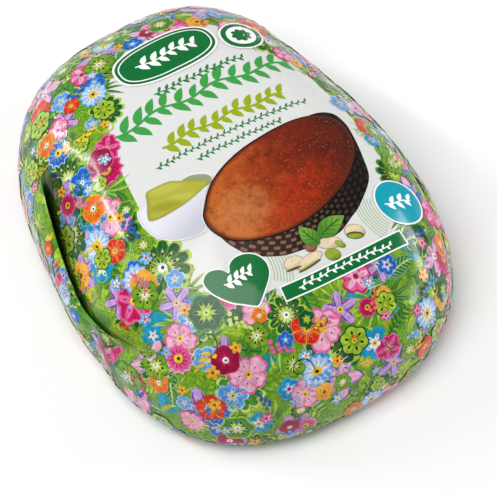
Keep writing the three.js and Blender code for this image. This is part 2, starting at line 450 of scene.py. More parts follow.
class PackSurface:
    """The pack's skin as rows of points, each row an array over the columns round the pack."""

    def __init__(self, form):
        self.height, self.roll, self.depth = form.height / MM, form.roll_out / MM, form.slit_depth / MM
        t = np.arange(COLUMNS) * 2 * math.pi / COLUMNS
        self.rim_x, self.rim_y = egg(t, form.half_width / MM, form.length / MM / 2,
                                     FRONT_SQUARENESS, BACK_SQUARENESS, FRONT_WIDENING)
        self.rim = np.hypot(self.rim_x, self.rim_y)
        self.left = self.rim_x < 0
        self.angle = np.degrees(np.arctan2(self.rim_y, np.abs(self.rim_x)))
        self.edge = edge_height(self.angle, self.rim_x)
        self.weight = fold_weight(self.angle, self.rim_x)
        left_gap = LEFT_GAP + BACK_GAP * ease((self.angle - BACK_GAP_START) / BACK_GAP_REACH)
        self.gap = np.where(self.left, left_gap, RIGHT_GAP)

    def dome(self, q):
        """Distance from the middle and height at q, 0 at the widest height and 1 at the top."""
        a = np.clip(q, 0, 1) * math.pi / 2
        power = 2 / DOME_SQUARENESS
        rise = (self.height - WIDEST_HEIGHT) * np.sin(a) ** power
        return self.rim * np.maximum(0, np.cos(a)) ** power, WIDEST_HEIGHT + rise

    def dome_share(self, height):
        return np.clip((height - WIDEST_HEIGHT) / (self.height - WIDEST_HEIGHT), 0, 1)

    def dome_parameter(self, height):
        return 2 / math.pi * np.arcsin(self.dome_share(height) ** (DOME_SQUARENESS / 2))

    def outward(self, q):
        r0, z0 = self.dome(q - 0.01)
        r1, z1 = self.dome(q + 0.01)
        length = np.hypot(r1 - r0, z1 - z0)
        return (z1 - z0) / length, (r0 - r1) / length

    def beside_fold(self, z):
        """How far the skin stands out, or in, beside the fold."""
        wall = self.roll - ROLL_THICKNESS - self.gap
        below = self.roll * ease(1 - (self.edge - BELOW_ROLL - z) / ROLL_REACH)
        above = wall * ease(1 - (z - self.edge - ABOVE_SLIT) / SHOULDER_REACH)
        return self.weight * np.where(z < self.edge, below, above)

    def pushed(self, q):
        r, z = self.dome(q)
        nr, nz = self.outward(q)
        out = self.beside_fold(z)
        return r + nr * out, z + nz * out

    def rows(self):
        """Every row from just outside the middle of the underside to just under the top."""
        flat = 0 * self.rim
        rows = [(FOOT_SCALE * self.rim * index / (UNDER_RINGS + 1), flat)
                for index in range(1, UNDER_RINGS + 1)]
        for index in range(FOOT_ROWS + 1):
            a = index / (FOOT_ROWS + 1) * math.pi / 2
            scale = FOOT_SCALE + (1 - FOOT_SCALE) * math.sin(a)
            rows.append((scale * self.rim, flat + WIDEST_HEIGHT * (1 - math.cos(a))))
        wall_end = self.dome_parameter(self.edge - BELOW_ROLL)
        dome_start = self.dome_parameter(self.edge + ABOVE_SLIT)
        rows += [self.pushed(wall_end * index / WALL_ROWS) for index in range(WALL_ROWS)]
        at = self.dome_parameter(self.edge)
        edge_r, edge_z = self.dome(at)
        nr, nz = self.outward(at)
        section = fold_section(self.roll, self.depth, self.gap)
        for index, (out, along) in enumerate(section):
            share = index / (len(section) - 1)
            flat_r, flat_z = self.dome(wall_end + (dome_start - wall_end) * share)
            fold_r = edge_r + nr * out - nz * along
            fold_z = edge_z + nz * out + nr * along
            rows.append((flat_r + (fold_r - flat_r) * self.weight, flat_z + (fold_z - flat_z) * self.weight))
        return rows + [self.pushed(dome_start + (1 - dome_start) * index / DOME_ROWS)
                       for index in range(1, DOME_ROWS)]

    def fold_rows(self, values):
        """Values for every point of the skin, of which only the fold's own rows are given."""
        first = UNDER_RINGS + FOOT_ROWS + 1 + WALL_ROWS
        whole = np.zeros((first + len(values) - 1 + DOME_ROWS - 1, COLUMNS))
        whole[first:first + len(values)] = values
        return np.append(whole.ravel(), [0, 0])

    def shade(self):
        """The painted shade of each point in the fold, from 0 outside it to 1 inside it, which darkens the
        colours there.
        """
        full = ease((LOW_ANGLE + BACK_REACH - self.angle) / BACK_FADE * 2.6)
        full *= ease((self.angle - LOW_ANGLE + 0.6 * ROLL_FADE) / ROLL_FADE)
        full = np.maximum(full, FRONT_PAINTED_SHADE * ease(self.weight * 2.4))
        full *= np.where(self.left, 1, RIGHT_PAINTED_SHADE)
        behind = full * ease((self.angle - BACK_SHADE_START) / BACK_SHADE_REACH) * self.left
        return self.fold_rows(np.minimum(np.outer(FOLD_PAINTED_SHADE, full) + np.outer(BACK_PAINTED_SHADE, behind), 1))

    def tucked(self):
        return self.fold_rows(np.outer(TUCKED, ease(self.weight * 4)))

    def points(self):
        """The skin's points in millimetres, row by row, before its top and bottom middle points."""
        points = []
        for r, z in self.rows():
            x, y = self.rim_x / self.rim * r, self.rim_y / self.rim * r
            rise = self.dome_share(z) ** 2
            inward = np.where(z > 0.5 * WIDEST_HEIGHT, strokes_depth(PULLS, x, y, z, DENT_POWER), 0)
            shrink = 1 - inward / np.maximum(r, 1)
            x, y = x * shrink + TOP_LEAN[0] * rise, y * shrink + TOP_LEAN[1] * rise
            points.append(np.stack([x, y, z], -1))
        return np.array(points)


def strokes_depth(strokes, x, y, z, power):
    """The depth that a list of strokes presses into the skin. A power of 2 is round, less is sharper."""
    radius = np.hypot(x, y)
    angle = np.degrees(np.arctan2(y, x))
    depth = np.zeros_like(radius)
    for start, low, end, high, deep, width in strokes:
        turn = (angle - start + 180) % 360 - 180
        along = np.stack([(end - start) * math.pi * radius / 180, 0 * radius + high - low])
        here = np.stack([turn * math.pi * radius / 180, z - low])
        share = np.clip((here * along).sum(0) / np.maximum((along ** 2).sum(0), 1e-6), 0, 1)
        gap = np.hypot(*(here - share * along)) / width
        depth += deep * np.sin(math.pi * (0.12 + 0.76 * share)) * np.exp(-gap ** power)
    return depth


def small_creases(seed):
    """The film's fine pulls: fans at both ends of each slit, gathers at the corners, wall pulls."""
    draw = random.Random(seed).uniform
    creases = []
    for axis, turn in ((180, -1), (0, 1)):
        for index in range(8):
            start, low = axis + turn * (34 + index * 2.6), 47 + 2.1 * index
            creases.append((start, low, start + turn * draw(3, 10), low + draw(6, 15), draw(0.2, 0.45), 1.7))
        for index in range(6):
            start, low = axis - turn * (20 + index * 4.4), 36 + 1.2 * index
            creases.append((start, low, start - turn * draw(1, 6), 18 + draw(-4, 6), draw(0.3, 0.6), 2.0))
        for index in range(5):
            start, low = axis + turn * (4 + index * 6), 58 + draw(-2, 3)
            creases.append((start, low, start + turn * draw(-3, 3), 68 + draw(-2, 3), draw(0.25, 0.5), 2.2))
    for corner in (58, 122, 236, 304):
        for index in range(7):
            start = corner + (index - 3) * draw(3.4, 4.6)
            creases.append((start, draw(2, 7), start + draw(-2, 2), draw(16, 34), draw(0.3, 0.7),
                            draw(1.4, 2.4)))
    for index in range(26):
        start = index * 360 / 26 + draw(-4, 4)
        creases.append((start, draw(16, 30), start + draw(-7, 7), draw(38, 66), draw(-0.35, 0.4),
                        draw(2, 4)))
    return creases


# Making meshes

UNDER_HEIGHT, STEP_DROP, STEP_BLEND, LEAST_HEIGHT = 1.0, 0.4, 8, 0.6
SEAM_MIDDLE, SEAM_HALF = 5, 17
FLAP_START, FLAP_MIDDLE, FLAP_HALF, FLAP_SLOPE = 34, 40, 37, 0.55
RIPPLE_SIZES, CREASE_START, CREASE_BLEND = (17, 7), 1.5, 6
LABEL_CENTRE, LABEL_HALF, LABEL_SQUARENESS, LABEL_WIDENING = (10, 6), (60, 86), (3.2, 2.2), 0.16
PANEL_HALF, PANEL_SQUARENESS, PANEL_MARGIN, PANEL_TOP = (52, 72), 12, 4, 5

# Where motifs may stand: beyond this share of the label, or below this height, but not near the bowl
# or the ribbon, given as middle and half sizes, and not in a slit, where a fold faces down
LABEL_KEPT, LABEL_LOWEST, BOWL_ZONE, RIBBON_ZONE = 0.975, 40, (-34, -16, 25, 22), (21, -70, 36, 15)
SLIT_REACH, SLIT_WEIGHT, SLIT_FACING = 9, 0.3, -0.15


def new_piece(name, mesh):
    piece = bpy.data.objects.new(name, mesh)
    bpy.context.scene.collection.objects.link(piece)
    return piece


def as_plain_mesh(piece):
    """Turns a piece with modifiers into a plain mesh and takes the modifiers off."""
    graph = bpy.context.evaluated_depsgraph_get()
    mesh = bpy.data.meshes.new_from_object(piece.evaluated_get(graph), depsgraph=graph)
    mesh.name = piece.name
    old = piece.data
    piece.modifiers.clear()
    piece.data = mesh
    bpy.data.meshes.remove(old)


def finish_piece(piece):
    """Rides the piece on the pack."""
    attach(piece, "root")


def read(items, key, width=1):
    """A number, or a row of them, for each of a mesh's points."""
    values = np.empty(len(items) * width, np.float32)
    items.foreach_get(key, values)
    return values.reshape(-1, width).squeeze().astype(float)


def mark(mesh, name, values):
    """Gives each point of a mesh a value."""
    data = mesh.attributes.new(name, "FLOAT", "POINT").data
    data.foreach_set("value", np.asarray(values, np.float32))


def film_mesh(surface):
    """The skin's coarse cage: rings round the pack, closed by a fan at the top and the bottom."""
    points = surface.points()
    rows, columns, _ = points.shape
    vertices = (points.reshape(-1, 3) * MM).tolist()
    top, last = len(vertices), (rows - 1) * columns
    vertices += [(TOP_LEAN[0] * MM, TOP_LEAN[1] * MM, surface.height * MM), (0, 0, 0)]
    faces = []
    for column in range(columns):
        after = (column + 1) % columns
        for here in range(0, last, columns):
            faces.append((here + column, here + after, here + columns + after, here + columns + column))
        faces += [(last + column, last + after, top), (after, column, top + 1)]
    mesh = bpy.data.meshes.new("film_skin")
    mesh.from_pydata(vertices, [], faces)
    # The fold attribute holds painted shade: it darkens every ink inside the slits.
    mark(mesh, "fold", surface.shade())
    mark(mesh, "tucked", surface.tucked())
    mesh.shade_smooth()
    return mesh


def crease_film(mesh, form):
    """Presses the fine creases and a soft ripple into the skin, and folds the flat underside."""
    points, normals = read(mesh.vertices, "co", 3) / MM, read(mesh.vertex_normals, "vector", 3)
    x, y, z = points.T
    depth = strokes_depth(small_creases(form.seed), x, y, z, CREASE_POWER)
    broad, fine = RIPPLE_SIZES
    ripple = np.array([noise.noise(Vector(point) / broad) + 0.5 * noise.noise(Vector(point) / fine)
                       for point in points])
    wall = ease((z - CREASE_START) / CREASE_BLEND)
    outside = 1 - read(mesh.attributes["tucked"].data, "value")
    points += normals * (outside * (wall * (ripple * form.ripple / MM - depth) - INK_ROOM))[:, None]
    points[:, 2] += (1 - ease(z / 2)) * underside_step(x, y)
    points[:, 2] = np.maximum(points[:, 2], LEAST_HEIGHT)
    mesh.vertices.foreach_set("co", (points * MM).astype(np.float32).ravel())
    mesh.update()


def underside_step(x, y):
    """How far the underside lies above the floor: least on the lapped seam and the end flaps."""
    seam = ease((SEAM_HALF - np.abs(x - SEAM_MIDDLE)) / STEP_BLEND)
    flap = ease((FLAP_HALF + FLAP_SLOPE * (np.abs(x) - FLAP_MIDDLE) - np.abs(y)) / STEP_BLEND)
    return UNDER_HEIGHT - STEP_DROP * np.maximum(seam, flap * ease((np.abs(x) - FLAP_START) / STEP_BLEND))


def label_outline(share):
    x, y = egg(share * 2 * math.pi, *LABEL_HALF, *LABEL_SQUARENESS, LABEL_WIDENING)
    return x + LABEL_CENTRE[0], y + LABEL_CENTRE[1]


def panel_outline(share):
    return egg(share * 2 * math.pi, *PANEL_HALF, PANEL_SQUARENESS, PANEL_SQUARENESS, 0)


def label_share(x, y):
    """How far a point is from the label's middle to its edge, 1 on the edge."""
    t = np.linspace(-math.pi, math.pi, 361)
    edge_x, edge_y = egg(t, *LABEL_HALF, *LABEL_SQUARENESS, LABEL_WIDENING)
    edge_angle = np.arctan2(edge_y, edge_x)
    order = np.argsort(edge_angle)
    dx, dy = x - LABEL_CENTRE[0], y - LABEL_CENTRE[1]
    reach = np.interp(np.arctan2(dy, dx), edge_angle[order], np.hypot(edge_x, edge_y)[order])
    return np.hypot(dx, dy) / reach


def mark_room(mesh):
    """Marks where motifs may stand: off the label, off the bare panel underneath, out of the slits."""
    x, y, z = (read(mesh.vertices, "co", 3) / MM).T
    facing = read(mesh.vertex_normals, "vector", 3)[:, 2]
    (bowl_x, bowl_y), (ribbon_x, ribbon_y) = (
        ((x - zone[0]) / zone[2], (y - zone[1]) / zone[3]) for zone in (BOWL_ZONE, RIBBON_ZONE))
    kept_clear = (np.hypot(bowl_x, bowl_y) < 1) | (np.abs(ribbon_x) < 1) & (np.abs(ribbon_y) < 1)
    off_label = (label_share(x, y) > LABEL_KEPT) & ~kept_clear | (z < LABEL_LOWEST)
    in_panel = [np.abs(value) < half + PANEL_MARGIN for value, half in zip((x, y), PANEL_HALF)]
    panel = in_panel[0] & in_panel[1] & (z < PANEL_TOP)
    angle = np.degrees(np.arctan2(y, np.abs(x)))
    slit = (np.abs(z - edge_height(angle, x)) < SLIT_REACH) & (facing < SLIT_FACING)
    mark(mesh, "room", off_label & ~panel & ~(slit & (fold_weight(angle, x) > SLIT_WEIGHT)))


# Flat shapes of ink, in millimetres. Each is a mesh with the motif's own map, and with each point's
# share of the way from the motif's middle to its rim.


def ink_mesh(points, faces, own, rim):
    mesh = bpy.data.meshes.new("ink")
    mesh.from_pydata([(x * MM, y * MM, 0) for x, y in points], [], faces)
    layer = mesh.uv_layers.new(name=UV)
    for loop in mesh.loops:
        layer.data[loop.index].uv = own[loop.vertex_index]
    mark(mesh, "rim", rim)
    mesh.shade_smooth()
    return mesh


def even_rings(count):
    return [(index + 1) / count for index in range(count)]


def rounded(outline, segments, rings, centre=(0, 0)):
    """A shape filled from its centre to an outline, which is a function of the share round it."""
    points, own, rim, faces = [centre], [(0.5, 0.5)], [0.0], []
    edge = [outline(index / segments) for index in range(segments)]
    if sum(x0 * y1 - x1 * y0 for (x0, y0), (x1, y1) in zip(edge, edge[1:] + edge[:1])) < 0:
        edge.reverse()
    reach = max(math.dist(point, centre) for point in edge)
    for ring in rings:
        for x, y in edge:
            place = centre[0] + (x - centre[0]) * ring, centre[1] + (y - centre[1]) * ring
            points.append(place)
            own.append([0.5 + (place[axis] - centre[axis]) / reach / 2 for axis in (0, 1)])
            rim.append(ring)
    for index in range(segments):
        after = (index + 1) % segments
        faces.append((0, 1 + index, 1 + after))
        for ring in range(len(rings) - 1):
            inner = 1 + ring * segments
            faces.append((inner + index, inner + segments + index, inner + segments + after, inner + after))
    return ink_mesh(points, faces, own, rim)


def band(path, width, steps, across=2):
    """A strip of ink along a path, both path and width given as functions of the share along it."""
    points, own, rim, faces = [], [], [], []
    for index in range(steps + 1):
        share = index / steps
        ahead, back = path(min(1, share + 0.01)), path(max(0, share - 0.01))
        run = math.dist(ahead, back) or 1
        side = (-(ahead[1] - back[1]) / run, (ahead[0] - back[0]) / run)
        x, y = path(share)
        for lane in range(across + 1):
            off = 2 * lane / across - 1
            reach = off * width(share) / 2
            points.append((x + side[0] * reach, y + side[1] * reach))
            own.append((share, 0.5 + off / 2))
            rim.append(abs(off))
    lanes = across + 1
    for index in range(steps):
        for here in range(index * lanes, index * lanes + across):
            faces.append((here, here + lanes, here + lanes + 1, here + 1))
    return ink_mesh(points, faces, own, rim)


def joined(meshes):
    """Several ink meshes as one."""
    points, faces, own, rim = [], [], [], []
    for mesh in meshes:
        first = len(points)
        points += [(v.co.x / MM, v.co.y / MM) for v in mesh.vertices]
        rim += read(mesh.attributes["rim"].data, "value").tolist()
        places = [(0, 0)] * len(mesh.vertices)
        for loop in mesh.loops:
            places[loop.vertex_index] = tuple(mesh.uv_layers[UV].data[loop.index].uv)
        own += places
        faces += [tuple(first + v for v in face.vertices) for face in mesh.polygons]
        bpy.data.meshes.remove(mesh)
    return ink_mesh(points, faces, own, rim)


def moved(mesh, x, y, turn=0.0):
    """Turns and moves a flat ink mesh."""
    c, s = math.cos(turn), math.sin(turn)
    for vertex in mesh.vertices:
        px, py = vertex.co.x, vertex.co.y
        vertex.co.x = px * c - py * s + x * MM
        vertex.co.y = px * s + py * c + y * MM
    return mesh


def petals_outline(radius, petals, cleft, fullness=(2, 0.5), notch=0.0, uneven=(1,)):
    """An outline of petals: how deep the clefts are, how full the petals, a tip notch, unlike sizes."""
    def outline(share):
        index = math.floor(share * petals + 0.5)
        aside = abs(2 * (share * petals - index))
        petal = (1 - min(1, aside) ** fullness[0]) ** fullness[1]
        dip = notch * math.exp(-((aside / 0.25) ** 2))
        reach = radius * uneven[index % petals % len(uneven)] * (1 - cleft * (1 - petal) - dip)
        turn = share * 2 * math.pi
        return reach * math.cos(turn), reach * math.sin(turn)
    return outline


def blossom(radius, petals, cleft=0.45, per_petal=6, **shape):
    return rounded(petals_outline(radius, petals, cleft, **shape), petals * per_petal, (0.55, 1))


def leaf(length, width, bend=0.0, steps=8, across=2, start=-0.5):
    """A leaf along X, from start to start + 1 of its length."""
    def path(share):
        return (share + start) * length, bend * math.sin(share * math.pi)
    def breadth(share):
        return width * max(0.02, math.sin(math.pi * share ** 0.8)) ** 0.85
    return band(path, breadth, steps, across)


def sprig(length, pairs, leaflet, width):
    """A stem with pairs of small leaflets, the way a fern has them."""
    def stem(share):
        return (share - 0.5) * length, 0.06 * length * math.sin(share * math.pi)
    parts = [band(stem, lambda share: 0.9 * (1.1 - share), 8, 1)]
    for index in range(pairs):
        share = (index + 0.7) / pairs
        size = leaflet * math.sin(math.pi * (0.2 + 0.75 * share)) ** 0.7
        for side in (1, -1):
            blade = leaf(size, width * size / leaflet, 0, 3, 2, 0)
            parts.append(moved(blade, *stem(share), side * math.radians(58)))
    return joined(parts)


def tuft(length, blades, width):
    """Blades of grass that fan out from one foot."""
    parts = []
    for index in range(blades):
        turn = math.radians(-62 + 124 * index / (blades - 1))
        reach = length * (0.72 + 0.28 * math.cos(turn * 1.4))
        blade = leaf(reach, width, 0.12 * reach * math.sin(turn), 5, 1, 0)
        parts.append(moved(blade, -0.4 * length, 0, turn))
    return joined(parts)


def spray(length, dots, size):
    """A spike of small round buds, thick at its foot and thin at its tip."""
    parts = []
    for index in range(dots):
        share = index / (dots - 1)
        y = (1, -0.2, -1)[index % 3] * 0.2 * length * (1 - share)
        outline = petals_outline(size * (1.15 - 0.5 * share), 5, 0.15)
        parts.append(moved(rounded(outline, 5, (1,)), (share - 0.5) * length, y))
    return joined(parts)


def tendril(reach, turns, width):
    def path(share):
        turn = share * turns * 2 * math.pi
        size = reach * (1 - 0.78 * share)
        return size * math.cos(turn), size * math.sin(turn)
    return band(path, lambda s: width * (0.4 + 0.6 * math.sin(math.pi * (0.08 + 0.84 * s))), 22, 1)


def oval(x, y, half_long, half_short, tilt=0.0, squareness=2.0):
    """An outline of an oval, tilted in degrees."""
    lean = math.radians(tilt)
    def outline(share):
        turn = share * 2 * math.pi
        c, s = math.cos(turn), math.sin(turn)
        reach = (abs(c) ** squareness + abs(s) ** squareness) ** (-1 / squareness)
        along, up = half_long * c * reach, half_short * s * reach
        return (x + along * math.cos(lean) - up * math.sin(lean),
                y + along * math.sin(lean) + up * math.cos(lean))
    return outline


def through(places, grow=0.0):
    """A smooth closed outline through a few places, moved outward by grow."""
    count = len(places)
    middle = (sum(p[0] for p in places) / count, sum(p[1] for p in places) / count)
    def outline(share):
        at = share * count
        index, f = int(at) % count, at - int(at)
        p, q, r, t = (places[(index + k) % count] for k in (-1, 0, 1, 2))
        place = [0.5 * (2 * q[k] + (r[k] - p[k]) * f + (2 * p[k] - 5 * q[k] + 4 * r[k] - t[k]) * f * f
                        + (3 * q[k] - p[k] - 3 * r[k] + t[k]) * f ** 3) for k in (0, 1)]
        reach = math.dist(place, middle)
        return tuple(middle[k] + (place[k] - middle[k]) * (1 + grow / reach) for k in (0, 1))
    return outline, middle


# Trees of geometry nodes that lay ink on the film

# Motifs stand closer in beds, which a noise of this scale makes between these edges. Ink ends where an
# edge would stretch by more than TEAR, or be tucked in further than DEEPEST, or where it would face less
# than FACING_LEAST along the film.
BED_SCALE, BED_EDGES, LAST_SHADE = 26, (0.52, 0.44), 0.9999
TEAR, DEEPEST, FACING_LEAST, LEAST_GAP = 1.5, 0.6, 0.15, 1e-5
RAY_START, LEAF_SLANT, LEAF_SIZES = 0.3, math.radians(52), (0.82, 1.12)


@once("Scatter ink on the film")
def scatter_tree(name):
    """Scatters a motif over the film, lays each one down on it and drops what a slit would tear."""
    tree = InkTree(name, [
        ("Motif", "Geometry"), ("Spacing", "Float", 0.012), ("Clumping", "Float", 0.5),
        ("Smallest", "Float", 0.8), ("Largest", "Float", 1.15), ("Tear", "Float", TEAR),
        ("Deepest", "Float", DEEPEST), ("Seed", "Int", 0)])
    give, film, here = tree.give, tree.film(), tree.here()
    beds = tree.get("ShaderNodeTexNoise", {
        "Vector": here, "W": give["Seed"], "Scale": BED_SCALE, "Detail": 1}, noise_dimensions="4D")
    bare = tree.step(beds, *BED_EDGES) * give["Clumping"]
    points, rotation = tree.get("GeometryNodeDistributePointsOnFaces", {
        "Mesh": film, "Distance Min": give["Spacing"], "Density Max": 4 / give["Spacing"] ** 2,
        "Density Factor": tree.named("room") * (1 - bare), "Seed": give["Seed"],
    }, ("Points", "Rotation"), distribute_method="POISSON")

    def on_film(value, kind):
        return tree.get("GeometryNodeSampleNearestSurface", {"Mesh": film, "Value": value}, data_type=kind)

    def without(geometry, value, limit, domain):
        over = tree.get("FunctionNodeCompare", {0: value, 1: limit}, data_type="FLOAT")
        inputs = {"Geometry": geometry, "Selection": over}
        return tree.get("GeometryNodeDeleteGeometry", inputs, domain=domain)

    spun = tree.get("FunctionNodeRotateRotation", {
        0: rotation, 1: tree.turn(tree.draw(0, 2 * math.pi, Seed=give["Seed"] + 1))}, rotation_space="LOCAL")
    size = tree.draw(give["Smallest"], give["Largest"], Seed=give["Seed"] + 3)
    shaded = tree.get("GeometryNodeStoreNamedAttribute", {
        "Geometry": tree.copies(points, give["Motif"], spun, size), "Name": "shade",
        "Value": tree.draw(0, LAST_SHADE, Seed=give["Seed"] + 4)}, data_type="FLOAT", domain="INSTANCE")
    ends = tree.get("GeometryNodeInputMeshEdgeVertices", output=("Position 1", "Position 2"))
    span = tree.get("ShaderNodeVectorMath", dict(enumerate(ends)), "Value", operation="DISTANCE")
    before = tree.add("GeometryNodeCaptureAttribute", {"Geometry": tree.realized(shaded)}, domain="EDGE")
    before.capture_items.new("FLOAT", "Span")
    tree.fill(before, {"Span": span})
    flat, first_span = (Value(tree, before.outputs[key]) for key in ("Geometry", "Span"))
    normal = on_film(tree.get("GeometryNodeInputNormal"), "FLOAT_VECTOR")
    laid = tree.laid(flat, on_film(here, "FLOAT_VECTOR"), normal)
    whole = without(laid, span, first_span * give["Tear"], "EDGE")
    whole = without(whole, on_film(tree.named("tucked"), "FLOAT"), give["Deepest"], "POINT")
    return tree.inked(tree.get("GeometryNodeSetShadeSmooth", {"Geometry": whole}))


@once("Press ink on the film")
def press_tree(name):
    """Presses flat ink straight down, or up, onto the film."""
    tree = InkTree(name, [("Ink shape", "Geometry"), ("From above", "Bool", True)])
    x, y = tree.split(tree.here())
    side = tree.get("ShaderNodeMapRange", {"Value": tree.give["From above"], "To Min": -1, "To Max": 1})
    hit = tree.get("GeometryNodeRaycast", {
        "Target Geometry": tree.film(), "Source Position": tree.join(X=x, Y=y, Z=side * RAY_START),
        "Ray Direction": tree.join(Z=side * -1), "Ray Length": 1}, ("Hit Position", "Hit Normal"))
    return tree.inked(tree.realized(tree.laid(tree.give["Ink shape"], *hit)))


@once("Vine on the label")
def vine_tree(name):
    """A winding stem with leaves on both sides, laid on the film at a place on the label."""
    tree = InkTree(name, [
        ("Leaf", "Geometry"), ("Place", "Vector"), ("Length", "Float", 0.1), ("Leaves", "Int", 24),
        ("Sway", "Float", 0.002), ("Wave", "Float", 0.03), ("Stem", "Float", 0.001)])
    give = tree.give

    def swayed(x):
        return (x / give["Wave"] * (2 * math.pi)).math("SINE") * give["Sway"]

    index = tree.get("GeometryNodeInputIndex")
    x = ((index + 0.5) / give["Leaves"] - 0.5) * give["Length"]
    stem = tree.join(X=x, Y=swayed(x))
    joints = tree.get("GeometryNodePoints", {"Count": give["Leaves"], "Position": stem})
    slant = tree.turn((index % 2 * 2 - 1) * LEAF_SLANT)
    leaves = tree.realized(tree.copies(joints, give["Leaf"], slant, tree.draw(*LEAF_SIZES)))
    strip = tree.get("GeometryNodeMeshGrid", {
        "Size X": give["Length"], "Size Y": give["Stem"], "Vertices X": 72, "Vertices Y": 2})
    whole = tree.add("GeometryNodeJoinGeometry", {0: leaves})
    tree.fill(whole, {0: tree.put(strip, Offset=tree.join(Y=swayed(tree.split(tree.here())[0])))})
    there = tree.put(Value(tree, whole.outputs[0]), Offset=give["Place"])
    pressing = {key.lower(): give[key] for key in ("Film", "Lift", "Ink")}
    return tree.end(*tree.group(press_tree, ink_shape=there, **pressing))


def grown(name, mesh, tree, ink, layer, **values):
    """A piece that a tree of geometry nodes makes from a mesh and lays on the film."""
    look = bpy.context.scene.print_form
    piece = new_piece(name, mesh)
    modifier = piece.modifiers.new("Ink", "NODES")
    modifier.node_group = tree
    values = {key.replace("_", " ").capitalize(): value for key, value in values.items()}
    values |= {"Film": bpy.data.objects["film_skin"], "Lift": look.base_lift + look.lift * layer, "Ink": ink}
    for item in tree.interface.items_tree:
        if item.in_out == "INPUT" and item.name in values:
            modifier[item.identifier] = values[item.name]
    as_plain_mesh(piece)
    return piece


def settled(piece):
    """Tidies a piece of ink and gives it the film's highlights."""
    film = bpy.data.objects["film_skin"]
    drop_loose(piece.data, film)
    match_film(piece.data, film)
    finish_piece(piece)


def scatter(name, mesh, ink, spacing, layer, clumping=0.5, smallest=0.8, largest=1.15):
    """A piece made of one motif scattered over the film. The spacing is in millimetres."""
    look = bpy.context.scene.print_form
    settled(grown(name, mesh, scatter_tree(), ink, layer, spacing=spacing * MM / look.crowding ** 0.5,
                  clumping=clumping, smallest=smallest, largest=largest, tear=TEAR, deepest=DEEPEST,
                  seed=look.seed * 100 + layer * 7))


def press(name, mesh, ink, layer, above=True):
    """A piece of flat ink pressed onto the film at its own place."""
    piece = grown(name, mesh, press_tree(), ink, layer, from_above=above)
    if not above:
        piece.data.flip_normals()
    settled(piece)


def vine(name, ink, layer, place, length, leaves, leaf_size, sway, wave, stem):
    """A leafy vine on the label, with its middle at a place. Sizes are in millimetres."""
    blade = leaf(*leaf_size, 0.08 * leaf_size[0], 6, 2, 0)
    settled(grown(name, blade, vine_tree(), ink, layer, place=(place[0] * MM, place[1] * MM, 0),
                  length=length * MM, leaves=leaves, sway=sway * MM, wave=wave * MM, stem=stem * MM))


def drop_loose(mesh, film):
    """Takes out faces that a fold has turned over, and points that no face uses."""
    shape = bmesh.new()
    shape.from_mesh(mesh)
    def facing(face):
        return face.normal.dot(film.closest_point_on_mesh(face.calc_center_median())[2])
    over = [face for face in shape.faces if facing(face) < FACING_LEAST]
    bmesh.ops.delete(shape, geom=over, context="FACES")
    loose = [vertex for vertex in shape.verts if not vertex.link_faces]
    bmesh.ops.delete(shape, geom=loose, context="VERTS")
    shape.to_mesh(mesh)
    shape.free()


def match_film(mesh, film):
    """Gives ink the film's own normals, so that highlights run over it unbroken, and the film's painted fold
    shade.
    """
    source = film.data
    normals, shade = read(source.vertex_normals, "vector", 3), read(source.attributes["fold"].data, "value")
    # deep gathers the film's painted fold shade under each point
    found, deep = [], []
    for vertex in mesh.vertices:
        face = film.closest_point_on_mesh(vertex.co)[3]
        corners = np.array(source.polygons[face].vertices)
        gaps = np.array([(source.vertices[c].co - vertex.co).length for c in corners])
        weights = 1 / (LEAST_GAP + gaps)
        found.append(Vector(weights @ normals[corners]).normalized())
        deep.append(weights @ shade[corners] / weights.sum())
    mesh.normals_split_custom_set_from_vertices(found)
    mark(mesh, "fold", deep)


# Shader groups, the inks made with them, and functions that build an ink's colour in its tree

FILM_ROUGHNESS, FILM_SPECULAR, FILM_COAT, COAT_ROUGHNESS = 0.24, 0.15, 0.36, 0.12
BUMP_STRENGTH, BUMP_DISTANCE = 0.28, 0.0006
# How far the painted shade in the folds darkens a colour, and the near-black of that painted shade
PAINTED_SHADE_DEPTH, PAINTED_SHADE_COLOUR = 0.97, tone(6, 12, 8)
SUGAR_SCALE = 900


@once("Film gloss")
def gloss_group(name):
    """The film's gloss: a fine crinkle, a softer ripple and slightly uneven roughness."""
    tree = Group(name, "ShaderNodeTree", [("Roughness", "Float", FILM_ROUGHNESS)],
                 [("Roughness", "Float"), ("Height", "Float")])
    place = tree.place()
    soft, fine = tree.noise(place, 70, 2), tree.noise(place, 420, 3, Roughness=0.6)
    folds = tree.get("ShaderNodeTexVoronoi", {"Vector": place, "Scale": 55, "Smoothness": 0.4},
                     feature="SMOOTH_F1")
    gathers = tree.noise(tree.get("ShaderNodeMapping", {"Vector": place, "Scale": (1, 0.14, 1)}), 230, 2)
    x, y = map(abs, tree.split(place))
    at_side = tree.step(x, 0.058, 0.08) * tree.step(y, 0.1, 0.06)
    height = soft * 0.7 + fine * 0.12 + folds * 0.35 + gathers * at_side * 1.1
    return tree.end(tree.give["Roughness"] + (soft - 0.5) * 0.12, height)


